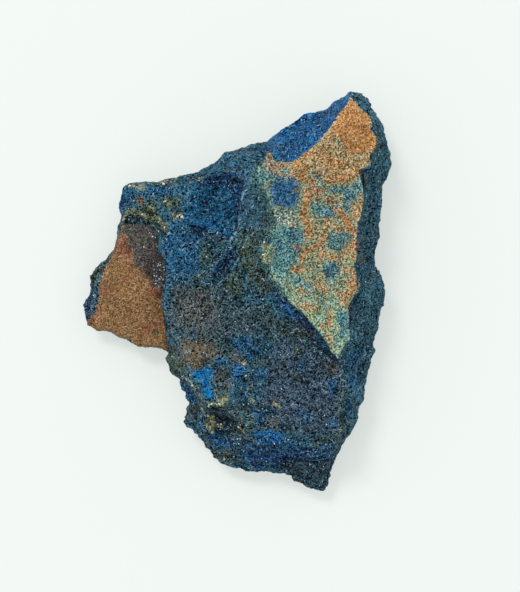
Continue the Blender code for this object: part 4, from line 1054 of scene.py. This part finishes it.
def sow(bed, x, y, size, tilt, sink):
    """Add to a bed the lie of one copy on the rock, and its tone; nothing beside the stone."""
    above = Vector((x * MM, y * MM, ABOVE_ALL))
    hit, direction, _, _ = rock_shape.ray_cast(above, Vector((0.0, 0.0, -1.0)))
    if hit is None or hit.z < LOWEST_SPOT:
        return
    lean = Vector([chance.uniform(-tilt, tilt) for _ in range(3)])
    turn = (direction + lean).normalized().to_track_quat("Z", "Y").to_matrix().to_4x4()
    spin = Matrix.Rotation(chance.uniform(0.0, math.tau), 4, "Z")
    stretch = Matrix.Diagonal((size[0] * MM, size[1] * MM, size[2] * MM, 1.0))
    lie = Matrix.Translation(hit - direction * sink * size[2] * MM) @ turn @ spin @ stretch
    bed.append((lie, chance.random()))


def toned(base, steps):
    """A colour for each copy by its tone; each step is where the next colour comes in."""
    tone = place.node("ShaderNodeAttribute", {"attribute_name": "tone"}, {}, "Fac")
    colour = plain(base)
    for low, high, code in steps:
        colour = colour.mix(tone.step(low, high), paint(code))
    return colour


CRUMBS_PER_MM = 5.0
UNEVENNESS = 0.16
crumb_bed = []
for line, half_width in PALE_LINES:
    for start, end in zip(line[:-1], line[1:]):
        number = max(2, round(math.dist(start, end) * CRUMBS_PER_MM * (0.5 + half_width)))
        for _ in range(number):
            share = chance.random()
            spot = [start[axis] + (end[axis] - start[axis]) * share
                    + chance.gauss(0.0, half_width * 0.8) for axis in (0, 1)]
            across = 0.08 + 0.16 * chance.random() ** 2 + 0.10 * half_width
            size = (across * chance.uniform(0.8, 1.5), across, across * chance.uniform(0.5, 0.8))
            sow(crumb_bed, *spot, size, 0.4, 0.1)

bpy.ops.object.select_all(action="DESELECT")
bpy.ops.mesh.primitive_ico_sphere_add(subdivisions=2, radius=1.0)
crumb = bpy.context.object
for vertex in crumb.data.vertices:
    vertex.co *= 1.0 + chance.uniform(-UNEVENNESS, UNEVENNESS)
crumbs = join_copies("pale_crumbs", crumb, crumb_bed)
pick(crumbs)
bpy.ops.object.shade_smooth_by_angle(angle=math.radians(40.0))

crumb_look, place = new_look("pale clay crumbs")
colour = toned("#77765a", [(0.25, 0.30, "#586854"), (0.42, 0.46, "#a5a284"),
                           (0.68, 0.70, "#938058"), (0.76, 0.79, "#d8d8c4")])
dust = clouds(0.35, 2.0, shift=7.0)
light = 0.5 + dust
colour = colour.node("ShaderNodeVectorMath", {"operation": "MULTIPLY"},
                     {0: colour, 1: xyz(light, light, light)})
sockets = {"Strength": 0.8, "Distance": 0.1 * MM, "Height": dust}
bump = place.node("ShaderNodeBump", {}, sockets, "Normal")
put_on(crumbs, crumb_look, {"Base Color": colour, "Normal": bump, "Roughness": 0.75,
                            "Specular IOR Level": 0.3})

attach(crumbs, "root")
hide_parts("aerinite_specimen")

# ---------------------------------------------------------------------------
# Fibres: aerinite grows in fine needles, and short ones lie all over the broken
# rock and catch the light. All are one joined piece.
# ---------------------------------------------------------------------------
FIBRES = 2600
SPOTS = 3 * FIBRES
NEAR_CALM = -0.2
OFF_CALM = 0.93
bpy.ops.object.select_all(action="DESELECT")
bpy.ops.mesh.primitive_cylinder_add(vertices=5, radius=1.0, depth=2.0,
                                    rotation=(0.0, math.radians(90.0), 0.0))
fibre = bpy.context.object
bpy.ops.object.transform_apply(location=False, rotation=True, scale=False)
bpy.ops.object.mode_set(mode="EDIT")
bpy.ops.mesh.select_all(action="SELECT")
bpy.ops.mesh.subdivide(number_cuts=1)
bpy.ops.mesh.quads_convert_to_tris()
bpy.ops.object.mode_set(mode="OBJECT")
# A needle tapers to both ends and bows a little.
for vertex in fibre.data.vertices:
    taper = 1.0 - 0.8 * abs(vertex.co.x)
    vertex.co.y = vertex.co.y * taper + 0.9 * (vertex.co.x ** 2)
    vertex.co.z *= taper

# Few of them grow on the crust or on the plate.
west, south = cad_box[0][0] / MM, cad_box[0][1] / MM
east, north = cad_box[1][0] / MM, cad_box[1][1] / MM
spots = np.array([(chance.uniform(west, east), chance.uniform(south, north), 0.0)
                  for _ in range(SPOTS)])
on_calm = np.max([depth_in_outline(spots, outline)
                  for outline in PATCHES["crust"] + PATCHES["plate skin"]], axis=0)
fibre_bed = []
for spot, depth in zip(spots, on_calm):
    if len(fibre_bed) == FIBRES:
        break
    if depth > NEAR_CALM and chance.random() < OFF_CALM:
        continue
    half_long = 0.14 + 0.50 * chance.random() ** 3
    sow(fibre_bed, spot[0], spot[1], (half_long, 0.062, 0.05), 0.15, -0.6)
fibres = join_copies("fibres", fibre, fibre_bed)

fibre_look, place = new_look("pale aerinite fibre")
colour = toned("#3f6f88", [(0.25, 0.29, "#6a93a3"), (0.55, 0.59, "#88aabc"),
                           (0.80, 0.84, "#b0d0e4")])
put_on(fibres, fibre_look, {"Base Color": colour, "Roughness": 0.45,
                            "Specular IOR Level": 0.4})

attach(fibres, "root")
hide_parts("aerinite_specimen")

# ---------------------------------------------------------------------------
# Glints: tiny glassy crystal faces on the dark rock, and a close cluster of
# slightly larger ones on the plate's dark end. All are one joined piece.
# ---------------------------------------------------------------------------
GLINTS = 950
OFF_CALM_GLINTS = 0.9
CLUSTER = [((-19.4, 9.2), (-16.6, 4.0), 12), ((-16.7, 6.4), (-14.2, 2.2), 52),
           ((-16.2, 3.4), (-14.6, 1.4), 36), ((-17.6, 12.6), (-15.0, 9.0), 20),
           ((-15.4, 13.4), (-13.2, 9.4), 16)]
bpy.ops.object.select_all(action="DESELECT")
bpy.ops.mesh.primitive_cone_add(vertices=5, radius1=1.0, radius2=0.55, depth=1.2)
glint = bpy.context.object
bpy.ops.object.mode_set(mode="EDIT")
bpy.ops.mesh.select_all(action="SELECT")
bpy.ops.mesh.quads_convert_to_tris()
bpy.ops.object.mode_set(mode="OBJECT")
glint_bed = []
for spot, depth in zip(spots[::-1], on_calm[::-1]):
    if len(glint_bed) == GLINTS:
        break
    if depth > NEAR_CALM and chance.random() < OFF_CALM_GLINTS:
        continue
    across = 0.07 + 0.13 * chance.random() ** 2
    sow(glint_bed, spot[0], spot[1], (across, across * 0.8, across * 0.6), 0.5, -0.2)
for (left, top), (right, bottom), number in CLUSTER:
    for _ in range(number):
        across = 0.09 + 0.13 * chance.random() ** 2
        x, y = chance.uniform(left, right), chance.uniform(bottom, top)
        sow(glint_bed, x, y, (across, across * 0.8, across * 0.8), 0.9, 0.1)
glints = join_copies("glints", glint, glint_bed)

glint_look, place = new_look("clear crystal glint")
# The palest tone is near white: painted glints, on top of the faces' real gloss.
colour = toned("#3d4446", [(0.46, 0.50, "#6c8ba4"), (0.76, 0.80, "#dcecf8")])
put_on(glints, glint_look, {"Base Color": colour, "Roughness": 0.15,
                            "Specular IOR Level": 0.8})

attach(glints, "root")
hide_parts("aerinite_specimen")

# ---------------------------------------------------------------------------
# The table top that the stone lies on: plain matt white card, which glows a
# little so that it stays pale.
# ---------------------------------------------------------------------------
TABLE_WIDTH = 3.0
TABLE_GAP = 0.05 * MM
bpy.ops.object.select_all(action="DESELECT")
bpy.ops.mesh.primitive_plane_add(size=TABLE_WIDTH, location=(0.0, 0.0, -TABLE_GAP))
table_top = bpy.context.object
table_top.name = "table_top"
card, _ = new_look("white card")
put_on(table_top, card, {"Base Color": paint("#aaafac"), "Roughness": 0.9,
                         "Emission Color": paint("#f1f7f3"), "Emission Strength": 0.54})

# ---------------------------------------------------------------------------
# Soft daylight from above, a little from the upper left, and the camera
# straight above the stone.
# ---------------------------------------------------------------------------
sky = bpy.data.worlds.new("soft room light")
sky.use_nodes = True
sky.node_tree.nodes["Background"].inputs["Color"].default_value = (1.0, 1.0, 1.0, 1.0)
sky.node_tree.nodes["Background"].inputs["Strength"].default_value = 0.72
bpy.context.scene.world = sky

WINDOW = (-0.9, 1.3, 2.0)
lamp = bpy.data.lights.new("window light", "AREA")
lamp.size = 0.7
lamp.energy = 26.0
window = bpy.data.objects.new("window light", lamp)
window.location = WINDOW
window.rotation_euler = Vector(WINDOW).to_track_quat("Z", "Y").to_euler()
bpy.context.scene.collection.objects.link(window)

CAMERA_ABOVE = (4.62 * MM, -0.60 * MM, 399.5 * MM)
camera_data = bpy.data.cameras.new("camera above")
camera_data.lens = 120.0
camera_data.sensor_width = 36.0
camera = bpy.data.objects.new("camera above", camera_data)
camera.location = CAMERA_ABOVE
bpy.context.scene.collection.objects.link(camera)
bpy.context.scene.camera = camera
bpy.context.scene.view_settings.view_transform = "Standard"
